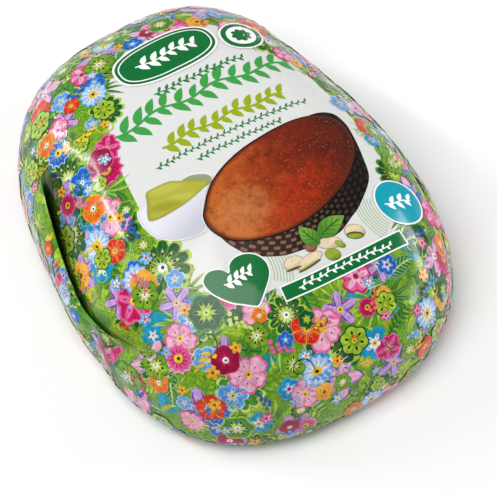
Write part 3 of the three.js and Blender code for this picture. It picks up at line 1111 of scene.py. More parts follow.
@once("Blossom ink")
def blossom_group(name):
    """A blossom's colours: a star-shaped inner field, veins, a rim, a heart and dark specks."""
    tree = ColourGroup(name, [
        ("Petals", "Float", 5), ("Inner", "Color", WHITE), ("Outer", "Color", PINK),
        ("Rim colour", "Color", WHITE), ("Vein", "Color", MAGENTA), ("Heart", "Color", YELLOW),
        ("Speck", "Color", INK_BLACK), ("Star", "Float", 0.35), ("Softness", "Float", 0.12),
        ("Rim width", "Float", 0.1), ("Veins", "Float", 0.6), ("Heart size", "Float", 0.16),
        ("Speck size", "Float", 0.07), ("Speck ring", "Float", 0.42)])
    give, mix, step = tree.give, tree.mix, tree.step
    reach, turn = tree.polar()
    rim = tree.attribute("rim")
    half = turn * give["Petals"] * 0.5
    axis = abs(half.math("COSINE"))
    beyond = (reach - (axis ** 3 * give["Star"] + 0.22)) / give["Softness"]
    look = mix(step(beyond, 0, 1), give["Inner"], give["Outer"])
    lines = step(abs((half * 3).math("SINE")), 0.2, 0.06) * step(reach, 0.2, 0.3) * step(rim, 0.82, 0.7)
    look = mix(lines * give["Veins"], look, give["Vein"])
    look = mix(step(axis, 0.28, 0.05) * 0.6, look, give["Vein"])
    look = mix(step(rim - (1 - give["Rim width"]), -0.02, 0.02), look, give["Rim colour"])
    sector = 2 * math.pi / give["Petals"]
    aside = ((turn / sector + 0.5).math("FRACT") - 0.5) * sector * give["Speck ring"] * 1.7
    out = reach - give["Speck ring"]
    far = (aside * aside + out * out).math("SQRT") / give["Speck size"]
    look = mix(step(far, 1.15, 0.85), look, give["Speck"])
    near = reach / give["Heart size"]
    look = mix(step(near, 1.08, 0.92), look, give["Heart"])
    return tree.end(mix(step(near, 0.42, 0.3), look, give["Speck"]))


@once("Leaf ink")
def leaf_group(name):
    """A leaf's colours: a midrib, slanting side veins and a shade from base to tip."""
    tree = ColourGroup(name, [
        ("Blade", "Color", LEAF_GREEN), ("Tip", "Color", LIME), ("Vein", "Color", BRIGHT_LIME),
        ("Side veins", "Float", 9), ("Rim share", "Float", 0.3)])
    give, mix, step = tree.give, tree.mix, tree.step
    x, y = tree.own()
    off = abs(y * 2 - 1)
    look = mix(step(x, 0.1, 1), give["Blade"], give["Tip"])
    slant = x * give["Side veins"] - off * 1.6
    look = mix(step(abs(slant.math("FRACT") - 0.5), 0.12, 0.05) * step(off, 0.9, 0.6), look, give["Vein"])
    look = mix(step(off, 0.12, 0.06), look, give["Vein"])
    return tree.end(mix(step(off, 0.78, 0.9) * give["Rim share"], look, give["Vein"]))


@once("Fold shade")
def painted_fold_shade_group(name):
    """Paints shade into a colour inside a side pocket's fold, darkening it by the mesh's own fold attribute.
    """
    tree = ColourGroup(name, [("Colour", "Color", LIME)])
    return tree.end(tree.mix(tree.attribute("fold") * PAINTED_SHADE_DEPTH, tree.give["Colour"], PAINTED_SHADE_COLOUR))


@once("Brushed ink")
def brush_group(name):
    """Uneven ink: broad and fine brush marks that darken a colour."""
    tree = ColourGroup(name, [("Colour", "Color", LIME), ("Depth", "Float", 0.3)])
    marks = tree.noise(tree.place(), 260, 3, Distortion=1.2)
    level = tree.get("ShaderNodeMapRange", {"Value": marks, "From Min": 0.3, "From Max": 0.7})
    share = 1 - level * tree.give["Depth"]
    grey = tree.get("ShaderNodeCombineColor", {0: share, 1: share, 2: share})
    return tree.end(tree.mix(1, tree.give["Colour"], grey, "MULTIPLY"))


def printed(name, paint):
    """A glossy film material whose colour comes from a function that builds it in its tree, darkened by
    painted shade inside the folds.
    """
    material = bpy.data.materials.new(name)
    material.use_nodes = True
    tree = Nodes(material.node_tree)
    roughness, height = tree.group(gloss_group)
    bump = {"Height": height, "Strength": BUMP_STRENGTH, "Distance": BUMP_DISTANCE}
    tree.fill(material.node_tree.nodes["Principled BSDF"], {
        "Base Color": tree.group(painted_fold_shade_group, colour=paint(tree))[0], "Roughness": roughness,
        "Normal": tree.get("ShaderNodeBump", bump), "Specular IOR Level": FILM_SPECULAR,
        "Coat Weight": FILM_COAT, "Coat Roughness": COAT_ROUGHNESS})
    return material


def motif_ink(name, build, palettes, **values):
    """An ink from a node group, with palettes that each hold one colour for each kind of motif."""
    def paint(tree):
        chosen = {key: tree.palette(colours) for key, colours in palettes.items()}
        return tree.brushed(tree.group(build, **chosen, **values)[0])
    return printed(name, paint)


def blossom_ink(name, petals, inner, outer, rims, veins, hearts, **values):
    palettes = {"inner": inner, "outer": outer, "rim_colour": rims, "vein": veins, "heart": hearts}
    return motif_ink(name, blossom_group, palettes, petals=petals, **values)


def leaf_ink(name, blades, tips, veins, side_veins=9, rim_share=0.3):
    palettes = {"blade": blades, "tip": tips, "vein": veins}
    return motif_ink(name, leaf_group, palettes, side_veins=side_veins, rim_share=rim_share)


def plain_ink(name, colour, depth=0.12):
    """One ink with a slight unevenness."""
    return printed(name, lambda tree: tree.brushed(tuple(colour), depth))


def palette_ink(name, colours):
    return printed(name, lambda tree: tree.brushed(tree.palette(colours)))


def ground(tree):
    """The print behind the motifs: lime with brushed patches and blades of other greens."""
    main = tuple(bpy.context.scene.print_form.ground)
    place = tree.place()
    patch = tree.get("ShaderNodeTexVoronoi", {"Vector": place, "Scale": 85}, "Color")
    pick = tree.get("ShaderNodeSeparateColor", {0: patch})
    blades = tree.get("ShaderNodeTexWave", {
        "Vector": place, "Scale": 95, "Distortion": 22, "Detail": 2, "Detail Scale": 1.6}, 1)
    look = tree.mix(tree.step(tree.noise(place, 38, 3), 0.36, 0.5), LEAF_GREEN, main)
    for start, colour in ((0.6, BRIGHT_LIME), (0.78, DEEP_GREEN), (0.85, TURQUOISE), (0.91, YELLOW),
                          (0.95, main)):
        look = tree.mix(tree.step(pick, start, start + 0.015), look, colour)
    return tree.brushed(tree.mix(tree.step(blades, 0.7, 0.82) * 0.6, look, LEAF_GREEN))


def spot(tree, centre, radii, tilt):
    """1 in the middle of a soft oval spot on a motif's own map, 0 outside it. The tilt is in degrees."""
    c, s = math.cos(math.radians(tilt)), math.sin(math.radians(tilt))
    x, y = (value - middle for value, middle in zip(tree.own(), centre))
    along = x * (c / radii[0]) + y * (s / radii[0])
    aside = y * (c / radii[1]) + x * (-s / radii[1])
    return tree.step(along * along + aside * aside, 1, 0)


def rimmed(tree, look, start, colour):
    """A look whose rim, from start on, turns to a colour."""
    return tree.mix(tree.step(tree.attribute("rim"), start, 1), look, colour)


def crust(tree):
    """A baked crust: golden on the left, deep red-brown on the right, mottled, with fine sugar specks."""
    def clouds(scale, detail, low, high):
        return tree.step(tree.noise(tree.place(), scale, detail, Roughness=0.68), low, high)

    mottle, patches = clouds(110, 6, 0.3, 0.7), clouds(260, 5, 0.34, 0.66)
    look = tree.ramp(tree.own()[0] + (mottle * 0.26 - 0.13), [
        (0.08, tone(190, 102, 40)), (0.26, tone(174, 80, 28)), (0.42, tone(146, 50, 13)),
        (0.62, tone(116, 31, 8)), (0.84, tone(90, 22, 10)), (0.97, tone(56, 18, 10))])
    for share, colour in (
            (spot(tree, (0.5, 0.38), (0.32, 0.13), 24) * (patches * 0.75 + 0.1), tone(180, 44, 12)),
            (spot(tree, (0.2, 0.42), (0.2, 0.17), 20) * (patches * 0.35 + 0.3), tone(198, 128, 76)),
            (clouds(75, 3, 0.54, 0.68) * 0.55, tone(84, 26, 8)),
            (clouds(190, 4, 0.5, 0.36) * 0.3, tone(104, 36, 8)),
            (clouds(SUGAR_SCALE, 3, 0.58, 0.7) * (mottle * 0.6 + 0.05), tone(216, 128, 52)),
            (clouds(SUGAR_SCALE, 3, 0.42, 0.32) * 0.5, tone(64, 20, 8))):
        look = tree.mix(share, look, colour)
    return rimmed(tree, look, 0.93, tone(92, 32, 12))


def case(tree):
    """A near-black paper case with staggered rows of small tan dashes that follow its rim."""
    x = tree.own()[0]
    row = tree.attribute("rim") * 16
    column = tree.polar()[1] * 7 + row.math("FLOOR") * 0.5
    off_row, off_column = (abs(value.math("FRACT") - 0.5) for value in (row, column))
    dash = tree.step(off_row, 0.34, 0.24) * tree.step(off_column, 0.3, 0.22)
    base = tree.mix(tree.step(x, 0.1, 0.6), tone(58, 38, 36), tone(8, 6, 5))
    return tree.mix(dash * (tree.step(x, 0.8, 0.2) * 0.66 + 0.07), base, tone(150, 112, 84))


def china(tree):
    """Pale china, grey towards its foot."""
    x, y = tree.own()
    look = tree.mix(tree.step(y * -1 + x * 0.3, -0.5, 0.05), tone(224, 224, 232), tone(186, 188, 198))
    return rimmed(tree, look, 0.95, tone(196, 198, 206))


def cream(tree):
    """Olive cream in soft folds."""
    look = tone(172, 172, 58)
    for centre, radii, tilt, share, colour in (
            ((0.42, 0.66), (0.34, 0.1), -18, 0.7, tone(190, 188, 84)),
            ((0.3, 0.42), (0.3, 0.09), -22, 0.8, tone(148, 146, 36)),
            ((0.6, 0.4), (0.3, 0.07), -28, 0.6, tone(192, 190, 86)),
            ((0.36, 0.27), (0.3, 0.06), -8, 0.6, tone(150, 148, 44))):
        look = tree.mix(spot(tree, centre, radii, tilt) * share, look, colour)
    return rimmed(tree, look, 0.82, tone(150, 150, 66))


def shaded_ink(name, light, dark):
    """An ink that is light above and dark below, as on a small round thing."""
    def paint(tree):
        look = tree.mix(tree.step(1 - tree.own()[1], 0.45, 1), light, dark)
        return tree.brushed(rimmed(tree, look, 0.86, dark), 0.2)
    return printed(name, paint)


def garnish(tree):
    return tree.group(leaf_group, blade=tone(70, 130, 40), tip=tone(120, 170, 60), vein=tone(40, 96, 30),
                      side_veins=5, rim_share=0.4)[0]


# The operators, and the outlines of what lies on the label, as places in millimetres

SEAM_LINE = [(18, -71), (18, 71)]
FLAP_LINE = [(51, 40), (37, 32), (37, -32), (51, -40)]
PLAQUE, BADGE, DISC, SERVING = (6.5, 72), (48, 66), (64, -59.5), (19, -25.5)
HEART = [
    (-44.8, -54.6), (-42, -51.8), (-38.5, -51.7), (-34.7, -53.6), (-32, -57.1), (-29.7, -53.6),
    (-25.8, -51.9), (-20.7, -52.6), (-16.4, -55.4), (-13.9, -60.2), (-14.3, -65), (-16.8, -68.7),
    (-20.4, -71.9), (-23.9, -74.8), (-27.3, -77), (-29.2, -76.4), (-32.7, -73.7), (-37.9, -69.7),
    (-41.8, -64.6), (-44.3, -59.6),
]
CASE = [
    (-27, -28.7), (-27.3, -33.2), (-26.2, -38.4), (-24, -45.5), (-17.7, -54.9), (-5.9, -61.6), (4.1, -63.8),
    (16, -64.9), (26.8, -64.1), (36.4, -59.6), (44.4, -55), (56.7, -43.8), (61.2, -30.8), (64, -18), (65, -8),
    (61.3, 0), (48, 1.5), (20, -4), (-10, -12),
]
LOAF = [
    (-25.6, -22.8), (-17.7, -13.9), (-9.3, -8.2), (-0.4, -4.5), (8.5, -2.1), (18.5, -0.5), (28.8, 0.9),
    (41, 1.7), (52.9, 0.3), (60, -3), (63.2, -9), (62.3, -20), (57.8, -28.1), (51.3, -35.3), (44.2, -41),
    (35.9, -45.3), (27.4, -48.7), (18.8, -50.8), (9.4, -52), (0.6, -51.6), (-8.6, -49.8), (-16.8, -46.6),
    (-22.8, -42.3), (-26.2, -37.5), (-28, -32), (-27.6, -26.6),
]
BOWL = [
    (-53.1, -5), (-54.1, -10.2), (-53.2, -16.8), (-50.9, -22.6), (-45.4, -27.9), (-41.2, -30.3),
    (-36.4, -31.7), (-32.7, -32.2), (-29.4, -30.8), (-28.8, -26.2), (-26.7, -22), (-22.9, -17.2),
    (-18.6, -12.9), (-14.8, -10), (-13.3, -7.6), (-15.2, -4.5), (-22.1, -1.7), (-31.1, -2.6), (-46, -3.9),
    (-50.5, -3.6),
]
HOLLOW = [(-30, -3), (-22.4, -1.9), (-15.7, -4.8), (-13.4, -7.7), (-15.2, -11), (-24, -11), (-30, -7)]
CREAM = [
    (-44.3, 2.2), (-39.7, 2.3), (-31.9, 1.1), (-27.6, -1.5), (-23.1, -3.8), (-19.2, -6.8), (-15.2, -9),
    (-16.6, -10.7), (-19.9, -11.8), (-29.1, -14), (-37.9, -14.6), (-46, -13.9), (-50.4, -11.8),
    (-49.2, -7.5), (-46.8, -3.3),
]

# Each nut's parts: the middle, the half sizes and the tilt
HUSKS = [(-1.8, -67.6, 5.3, 3.4, -4), (5.8, -70.1, 7.7, 2.9, 7), (19.4, -66.8, 6.5, 3.1, -18),
         (33.9, -66.7, 5.3, 3.9, -21)]
GAPS = [(-3.2, -70.2, 4.2, 0.6, -6), (4.6, -72.4, 6.6, 0.8, 4), (33, -68.4, 4.4, 1.9, -20)]
KERNELS = [(32.8, -68.7, 3.9, 1.3, -20), (17.8, -72.4, 4, 3, -24), (23.8, -69.4, 2.8, 1.6, -50),
           (4.2, -72, 5.6, 0.4, 4)]
SKINS = [(9.9, -64.8, 3.1, 2.4, -8)]


def fill(name, outline, middle, segments, rings, ink, layer, above=True):
    """A piece of ink that fills an outline from its middle."""
    press(name, rounded(outline, segments, even_rings(rings), middle), ink, layer, above)


class PACK_OT_film(bpy.types.Operator):
    """Make the film skin with its pockets, slits, creases and flat underside"""
    bl_idname = "pack.film"
    bl_label = "Film skin"

    def execute(self, context):
        form = context.scene.pack_form
        piece = new_piece("film_skin", film_mesh(PackSurface(form)))
        smooth = piece.modifiers.new("Smooth", "SUBSURF")
        smooth.levels = smooth.render_levels = 2
        as_plain_mesh(piece)
        crease_film(piece.data, form)
        mark_room(piece.data)
        piece.data.materials.append(printed("Film ground", ground))
        finish_piece(piece)
        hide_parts(NODE)
        return {"FINISHED"}


class PACK_OT_label(bpy.types.Operator):
    """Lay the pale label field on top and the bare panel underneath"""
    bl_idname = "pack.label"
    bl_label = "Label field"

    def execute(self, context):
        colour = context.scene.print_form.label
        fill("label_field", label_outline, LABEL_CENTRE, 280, 52, plain_ink("Label ink", colour, 0.03), 0)
        fill("under_panel", panel_outline, (0, 0), 240, 44, plain_ink("Panel ink", colour, 0.03), 0, False)
        seams = []
        for line in (SEAM_LINE, FLAP_LINE, [(-x, y) for x, y in FLAP_LINE]):
            for (x0, y0), (x1, y1) in zip(line, line[1:]):
                seams.append(band(lambda share: (x0 + (x1 - x0) * share, y0 + (y1 - y0) * share),
                                  lambda share: 0.8, 48))
        press("under_seams", joined(seams), plain_ink("Seam ink", tone(158, 160, 158), 0.03), 3, above=False)
        return {"FINISHED"}


class PACK_OT_leaves(bpy.types.Operator):
    """Scatter the leaves, grasses and ferns of the print"""
    bl_idname = "pack.leaves"
    bl_label = "Leaves"

    def execute(self, context):
        scatter("grass_tufts", tuft(15, 6, 2), leaf_ink(
            "Grass ink", [LEAF_GREEN, DEEP_GREEN, LIME, LEAF_GREEN, OLIVE],
            [BRIGHT_LIME, LEAF_GREEN, BRIGHT_LIME, LIME, PALE_LIME],
            [PALE_LIME, LIME, DEEP_GREEN, BRIGHT_LIME, LEAF_GREEN], 0, 0), 13, 2, 0.3)
        scatter("broad_leaves", leaf(21, 10, 1.8), leaf_ink(
            "Broad leaf ink", [DEEP_GREEN, EMERALD, LEAF_GREEN, TEAL_GREEN, BOTTLE_GREEN],
            [LEAF_GREEN, DEEP_GREEN, LIME, EMERALD, EMERALD],
            [BRIGHT_LIME, BOTTLE_GREEN, DEEP_GREEN, PALE_LIME, LIME]), 18, 3, 0.3, 0.6, 1.25)
        scatter("fern_sprigs", sprig(23, 7, 7, 2.2), leaf_ink(
            "Fern ink", [DEEP_GREEN, LEAF_GREEN, BRIGHT_LIME], [LEAF_GREEN, BRIGHT_LIME, PALE_LIME],
            [LEAF_GREEN, LIME, LIME], 0), 25, 4, 0.2)
        scatter("slim_leaves", leaf(13, 3.4, 2, 7), leaf_ink(
            "Slim leaf ink", [OLIVE, DEEP_GREEN, LEAF_GREEN, BRIGHT_LIME, TURQUOISE],
            [BRIGHT_LIME, LEAF_GREEN, LIME, PALE_LIME, SKY],
            [PALE_LIME, LIME, DEEP_GREEN, LEAF_GREEN, BLUE], 6), 14, 5, 0.3)
        return {"FINISHED"}


class PACK_OT_blossoms(bpy.types.Operator):
    """Scatter the blossoms, sprays and tendrils of the print, large blossoms first"""
    bl_idname = "pack.blossoms"
    bl_label = "Blossoms"

    def execute(self, context):
        scatter("green_rosettes", blossom(9, 11, 0.24, 4), blossom_ink(
            "Rosette ink", 11, [BRIGHT_LIME, PALE_LIME, LIME], [BOTTLE_GREEN, DEEP_GREEN, LEAF_GREEN],
            [LEAF_GREEN, BRIGHT_LIME, PALE_LIME], [BRIGHT_LIME, LIME, BOTTLE_GREEN],
            [PALE_LIME, WHITE, BOTTLE_GREEN], star=0.3, rim_width=0.12), 27, 6, 0.2, 0.7, 1.9)
        scatter("lilies", blossom(9.5, 5, 0.58, 6, fullness=(1.1, 0.7)), blossom_ink(
            "Lily ink", 5, [LILAC, PALE_PINK, LILAC], [VIOLET, LILAC, VIOLET], [LILAC, VIOLET, LILAC],
            [VIOLET, VIOLET, MAGENTA], [YELLOW, WHITE, PALE_LIME], star=0.75, rim_width=0.07,
            speck_size=0.01), 28, 7, 0.3, 0.85, 1.5)
        scatter("blue_blossoms", blossom(6.6, 5, 0.3, 6), blossom_ink(
            "Blue blossom ink", 5, [PALE_SKY, WHITE, PALE_SKY, SKY, PALE_SKY],
            [BLUE, TURQUOISE, SKY, BLUE, TURQUOISE], [SKY, TURQUOISE, PALE_SKY, SKY, SKY],
            [BLUE, BLUE, VIOLET, BLUE, BLUE], [MAGENTA, YELLOW, YELLOW, WHITE, MAGENTA],
            star=0.3), 18.6, 8, 0.35, 0.6, 1.35)
        uneven = blossom(8.4, 5, 0.42, 7, notch=0.12, uneven=(1, 0.9, 1.05, 0.86))
        scatter("pink_blossoms", uneven, blossom_ink(
            "Pink blossom ink", 5, [PALE_PINK, PALE_PINK, PINK], [PALE_PINK, PINK, MAGENTA],
            [PINK, MAGENTA, PINK], [MAGENTA, MAGENTA, CRIMSON], [YELLOW, MAGENTA, YELLOW], star=0.5,
            rim_width=0.12, speck_size=0.05), 29, 9, 0.3, 0.8, 1.6)
        scatter("daisies", blossom(6.6, 12, 0.45, 3, fullness=(2, 0.8)), blossom_ink(
            "Daisy ink", 12, [MAGENTA, WHITE, CRIMSON, SKY], [PINK, PALE_SKY, MAGENTA, BLUE],
            [PALE_PINK, SKY, PINK, PALE_SKY], [MAGENTA, BLUE, CRIMSON, BLUE],
            [YELLOW, YELLOW, AMBER, YELLOW], heart_size=0.28, speck_size=0.01), 27, 10, 0.35, 0.8, 1.55)
        scatter("warm_blossoms", blossom(5.8, 5, 0.28, 5), blossom_ink(
            "Warm blossom ink", 5, [ORANGE, MAGENTA, AMBER, YELLOW, CORAL],
            [RED, CRIMSON, ORANGE, AMBER, RED], [RED, PINK, AMBER, AMBER, CORAL],
            [AMBER, CRIMSON, RED, ORANGE, YELLOW], [YELLOW, WHITE, WHITE, RED, YELLOW], star=0.25,
            heart_size=0.2, rim_width=0.06), 23.6, 11, 0.35, 0.7, 1.45)
        scatter("green_blossoms", blossom(6.8, 6, 0.3, 5, fullness=(2, 0.6)), blossom_ink(
            "Green blossom ink", 6, [PALE_LIME, BRIGHT_LIME, LIME, PALE_LIME],
            [LEAF_GREEN, DEEP_GREEN, BRIGHT_LIME, LIME], [BRIGHT_LIME, LEAF_GREEN, DEEP_GREEN, LEAF_GREEN],
            [DEEP_GREEN, BOTTLE_GREEN, DEEP_GREEN, BOTTLE_GREEN], [WHITE, PALE_LIME, YELLOW, WHITE],
            speck_size=0.12, speck_ring=0.5), 20.5, 12, 0.2, 0.7, 1.5)
        scatter("bud_sprays", spray(12, 11, 1.2),
                palette_ink("Bud ink", [SKY, PINK, YELLOW, BLUE, PALE_LIME, CORAL]), 23, 13, 0.4)
        scatter("star_blossoms", blossom(3.4, 5, 0.5, 4, fullness=(1.6, 0.7)), blossom_ink(
            "Star blossom ink", 5, [WHITE, PALE_PINK, YELLOW, PALE_SKY], [SKY, PINK, AMBER, SKY],
            [PALE_SKY, PINK, YELLOW, PALE_SKY], [BLUE, MAGENTA, RED, BLUE],
            [YELLOW, MAGENTA, RED, ORANGE], heart_size=0.24, speck_size=0.01), 16, 14, 0.7)
        scatter("tendrils", tendril(7, 0.8, 0.6),
                palette_ink("Tendril ink", [PALE_LIME, BRIGHT_LIME, DEEP_GREEN]), 26, 15, 0.2)
        return {"FINISHED"}


class PACK_OT_tags(bpy.types.Operator):
    """Lay the plain green tags and the disc on the label"""
    bl_idname = "pack.tags"
    bl_label = "Tags"

    def execute(self, context):
        white = plain_ink("White ink", WHITE, 0.02)
        green = plain_ink("Tag ink", context.scene.print_form.tag, 0.08)
        teal = plain_ink("Disc ink", tone(0, 158, 178), 0.06)
        for part, grow, ink, layer in (("edge", 0.7, white, 16), ("field", 0, green, 17)):
            outline, middle = through(HEART, grow)
            fill(f"heart_{part}", outline, middle, 90, 12, ink, layer)

            def ribbon(share):
                along = share + grow / 70 * (2 * share - 1)
                return -14 + 69.6 * along, -78.4 - 6 * along + 7.3 * along ** 2
            press(f"ribbon_{part}", band(ribbon, lambda share: 6.4 + 2 * grow, 48, 6), ink, layer)
        for name, middle, half_long, half_short, squareness, segments, rings, parts in (
                ("plaque", PLAQUE, 27.5, 14, 2.6, 72, 10, (
                    ("edge", 1.1, white, 16), ("field", 0, green, 17), ("line", -1.6, white, 18),
                    ("middle", -2.3, green, 19))),
                ("badge", BADGE, 0, 0, 2, 48, 5, (
                    ("edge", 11.6, white, 16), ("ring", 10.6, green, 17), ("middle", 7.8, white, 18))),
                ("disc", DISC, 0, 0, 2, 48, 6, (("edge", 12.6, white, 16), ("field", 11.8, teal, 17)))):
            for part, grow, ink, layer in parts:
                outline = oval(*middle, half_long + grow, half_short + grow, 0, squareness)
                fill(f"{name}_{part}", outline, middle, segments, rings, ink, layer)
        press("fine_arcs", joined(self.arcs((-29, -61), -34, 26, 17.5) + self.arcs(DISC, 158, 222, 14.6)),
              plain_ink("Arc ink", tone(160, 186, 132)), 1)
        vine("plaque_vine", white, 20, PLAQUE, 34, 12, (6.5, 3), 0.8, 24, 0.8)
        vine("ribbon_vine", white, 18, (21, -79), 54, 24, (2.5, 1.25), 0.3, 12, 0.5)
        vine("heart_vine", white, 18, (-29.6, -61.2), 15, 8, (4.2, 2.1), 0.4, 12, 0.6)
        vine("disc_vine", white, 18, (63.5, -59.5), 15, 6, (4.6, 2.2), 0.4, 12, 0.7)
        press("badge_daisy", moved(blossom(5.4, 8, 0.5, 5), *BADGE), green, 19)
        return {"FINISHED"}

    def arcs(self, middle, low, high, radius, count=7, gap=1.5):
        """Fine arcs one outside the other, between two angles in degrees."""
        def arc(reach):
            def path(share):
                a = math.radians(low + (high - low) * share)
                return middle[0] + reach * math.cos(a), middle[1] + reach * math.sin(a)
            return band(path, lambda share: 0.45, 16)
        return [arc(radius + gap * index) for index in range(count)]


class PACK_OT_vines(bpy.types.Operator):
    """Lay the leafy vines across the label"""
    bl_idname = "pack.vines"
    bl_label = "Vines"

    def execute(self, context):
        title = plain_ink("Title ink", tone(62, 158, 72), 0.1)
        second = plain_ink("Second vine ink", tone(150, 172, 22), 0.1)
        small = plain_ink("Small vine ink", tone(40, 124, 66), 0.1)
        vine("title_vine", title, 2, (9.5, 40), 103, 26, (10.5, 4.4), 1.6, 34, 1.5)
        vine("second_vine", second, 2, (10, 20), 70, 22, (7.6, 3.6), 1.0, 24, 1.4)
        vine("plaque_foot_vine", small, 2, (14, 50.5), 52, 26, (3.6, 1.6), 0.4, 14, 0.6)
        vine("first_small_vine", small, 2, (10, 11), 87, 48, (2.6, 1.1), 0.25, 16, 0.5)
        vine("last_small_vine", small, 2, (10.5, 4.6), 49, 28, (2.6, 1.1), 0.25, 16, 0.5)
        return {"FINISHED"}


class PACK_OT_serving(bpy.types.Operator):
    """Lay the printed loaf, its paper case, the bowl of cream, the nuts and the leaves on the label"""
    bl_idname = "pack.serving"
    bl_label = "Printed serving"

    def execute(self, context):
        fill("paper_case", through(CASE)[0], SERVING, 96, 18, printed("Paper case ink", case), 3)
        rim_ink = plain_ink("Loaf rim ink", tone(14, 8, 6))
        fill("loaf_rim", through(LOAF, 0.7)[0], SERVING, 104, 18, rim_ink, 4)
        fill("loaf", through(LOAF)[0], SERVING, 104, 18, printed("Loaf ink", crust), 5)
        for name, places, grow, ink, layer in (
                ("bowl_edge", BOWL, 0.45, plain_ink("Bowl edge ink", tone(250, 248, 236)), 16),
                ("bowl", BOWL, 0, printed("Bowl ink", china), 17),
                ("bowl_hollow", HOLLOW, 0, plain_ink("Bowl hollow ink", tone(150, 156, 120)), 18),
                ("cream", CREAM, 0, printed("Cream ink", cream), 19)):
            fill(name, *through(places, grow), 72, 10, ink, layer)
        for name, ovals, ink, layer in (
                ("nut_husks", HUSKS, shaded_ink("Husk ink", tone(234, 216, 180), tone(160, 136, 98)), 6),
                ("nut_gaps", GAPS, plain_ink("Nut gap ink", tone(92, 78, 44)), 7),
                ("nut_kernels", KERNELS, shaded_ink("Kernel ink", tone(150, 178, 52), tone(84, 110, 30)), 8),
                ("nut_skin", SKINS, shaded_ink("Nut skin ink", tone(170, 96, 84), tone(104, 52, 50)), 5)):
            parts = [rounded(oval(*values), 28, even_rings(4), values[:2]) for values in ovals]
            press(name, joined(parts), ink, layer)
        leaves = [moved(leaf(13, 9, 0.6, 8, 4), 12.4, -59.2, math.radians(112)),
                  moved(leaf(18, 9.5, 0.8, 8, 4), 24.6, -60, math.radians(16))]
        press("garnish_leaves", joined(leaves), printed("Garnish ink", garnish), 9)
        return {"FINISHED"}


# The stage: the floor's reach and roughness, the sky's strength, each lamp's ends as azimuth clockwise
# from the pack's back and elevation, with its distance, width and watts, and where the camera looks

FLOOR_REACH, FLOOR_ROUGHNESS, SKY_STRENGTH = 3, 0.9, 0.3
LAMPS = {
    "back_left": ((-27, 10), (-52, 42), 1.7, 0.09, 9),
    "right": ((92, 28), (124, 4), 1.7, 0.3, 12),
    "overhead": ((-138, 64), (-58, 64), 1.7, 1.3, 19),
}
AIM_RIGHT, AIM_DOWN = 0.01119, 0.00543


def direction(azimuth, elevation):
    """A direction from the pack, with the azimuth clockwise from its back. Both are in radians."""
    level = math.cos(elevation)
    return Vector((math.sin(azimuth) * level, math.cos(azimuth) * level, math.sin(elevation)))


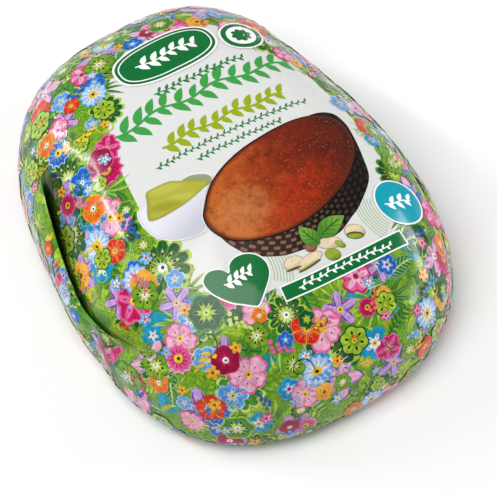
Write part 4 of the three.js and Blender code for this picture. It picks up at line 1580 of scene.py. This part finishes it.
class PACK_OT_stage(bpy.types.Operator):
    """Set the floor, the lights and the camera"""
    bl_idname = "pack.stage"
    bl_label = "Stage"

    def execute(self, context):
        form = context.scene.stage_form
        context.scene.view_settings.view_transform = "Standard"
        self.floor(form)
        self.sky(context)
        for name, values in LAMPS.items():
            self.lamp(context, name, *values)
        self.camera(context, form)
        return {"FINISHED"}

    def floor(self, form):
        mesh = bpy.data.meshes.new("floor")
        corners = [(x * FLOOR_REACH, y * FLOOR_REACH, 0) for x, y in ((-1, -1), (1, -1), (1, 1), (-1, 1))]
        mesh.from_pydata(corners, [], [(0, 1, 2, 3)])
        material = bpy.data.materials.new("Floor")
        material.use_nodes = True
        shader = material.node_tree.nodes["Principled BSDF"]
        shader.inputs["Base Color"].default_value = form.floor
        shader.inputs["Roughness"].default_value = FLOOR_ROUGHNESS
        mesh.materials.append(material)
        new_piece("floor", mesh)

    def sky(self, context):
        world = bpy.data.worlds.new("Studio")
        world.use_nodes = True
        background = world.node_tree.nodes["Background"]
        background.inputs["Color"].default_value = (1, 1, 1, 1)
        background.inputs["Strength"].default_value = SKY_STRENGTH
        context.scene.world = world

    def lamp(self, context, name, start, end, distance, width, watts):
        """A soft strip light between two directions from the pack, given in degrees."""
        first, last = (distance * direction(*map(math.radians, angles)) for angles in (start, end))
        middle, along = (first + last) / 2, (last - first).normalized()
        behind = (middle - along * middle.dot(along)).normalized()
        light = bpy.data.lights.new(name, "AREA")
        light.shape = "RECTANGLE"
        light.size, light.size_y = (last - first).length, width
        light.energy = watts
        lamp = bpy.data.objects.new(name, light)
        lamp.location = middle
        lamp.rotation_euler = Matrix((along, behind.cross(along), behind)).transposed().to_euler()
        context.scene.collection.objects.link(lamp)

    def camera(self, context, form):
        back = direction(form.azimuth + math.pi, form.elevation)
        right = Vector((math.cos(form.azimuth), -math.sin(form.azimuth), 0))
        target = right * AIM_RIGHT - back.cross(right) * AIM_DOWN
        camera = bpy.data.cameras.new("camera")
        camera.lens = form.lens
        seat = bpy.data.objects.new("camera", camera)
        seat.location = back * form.distance
        seat.rotation_euler = (target - seat.location).to_track_quat("-Z", "Y").to_euler()
        context.scene.collection.objects.link(seat)
        context.scene.camera = seat


class PACK_PT_panel(bpy.types.Panel):
    """The pack's settings and steps"""
    bl_idname = "PACK_PT_panel"
    bl_label = "Cake Pack"
    bl_space_type = "VIEW_3D"
    bl_region_type = "UI"
    bl_category = "Cake Pack"

    def draw(self, context):
        for name, form in FORMS.items():
            box = self.layout.box()
            for setting in form.__annotations__:
                box.prop(getattr(context.scene, name), setting)
        for operator in OPERATORS:
            self.layout.operator(operator.bl_idname)


FORMS = {"pack_form": PackForm, "print_form": PrintForm, "stage_form": StageForm}
OPERATORS = [PACK_OT_film, PACK_OT_label, PACK_OT_vines, PACK_OT_serving, PACK_OT_leaves, PACK_OT_blossoms,
             PACK_OT_tags, PACK_OT_stage]
CLASSES = [*FORMS.values(), *OPERATORS, PACK_PT_panel]


def register():
    for kind in CLASSES:
        bpy.utils.register_class(kind)
    for name, form in FORMS.items():
        setattr(bpy.types.Scene, name, bpy.props.PointerProperty(type=form))


def unregister():
    for name in FORMS:
        delattr(bpy.types.Scene, name)
    for kind in reversed(CLASSES):
        bpy.utils.unregister_class(kind)


def write_sizes():
    """Brings the view layer up to date."""
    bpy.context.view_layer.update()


def main():
    register()
    bpy.ops.pack.film()
    bpy.ops.pack.label()
    bpy.ops.pack.vines()
    bpy.ops.pack.serving()
    bpy.ops.pack.leaves()
    bpy.ops.pack.blossoms()
    bpy.ops.pack.tags()
    bpy.ops.pack.stage()
    write_sizes()


if __name__ == "__main__":
    main()
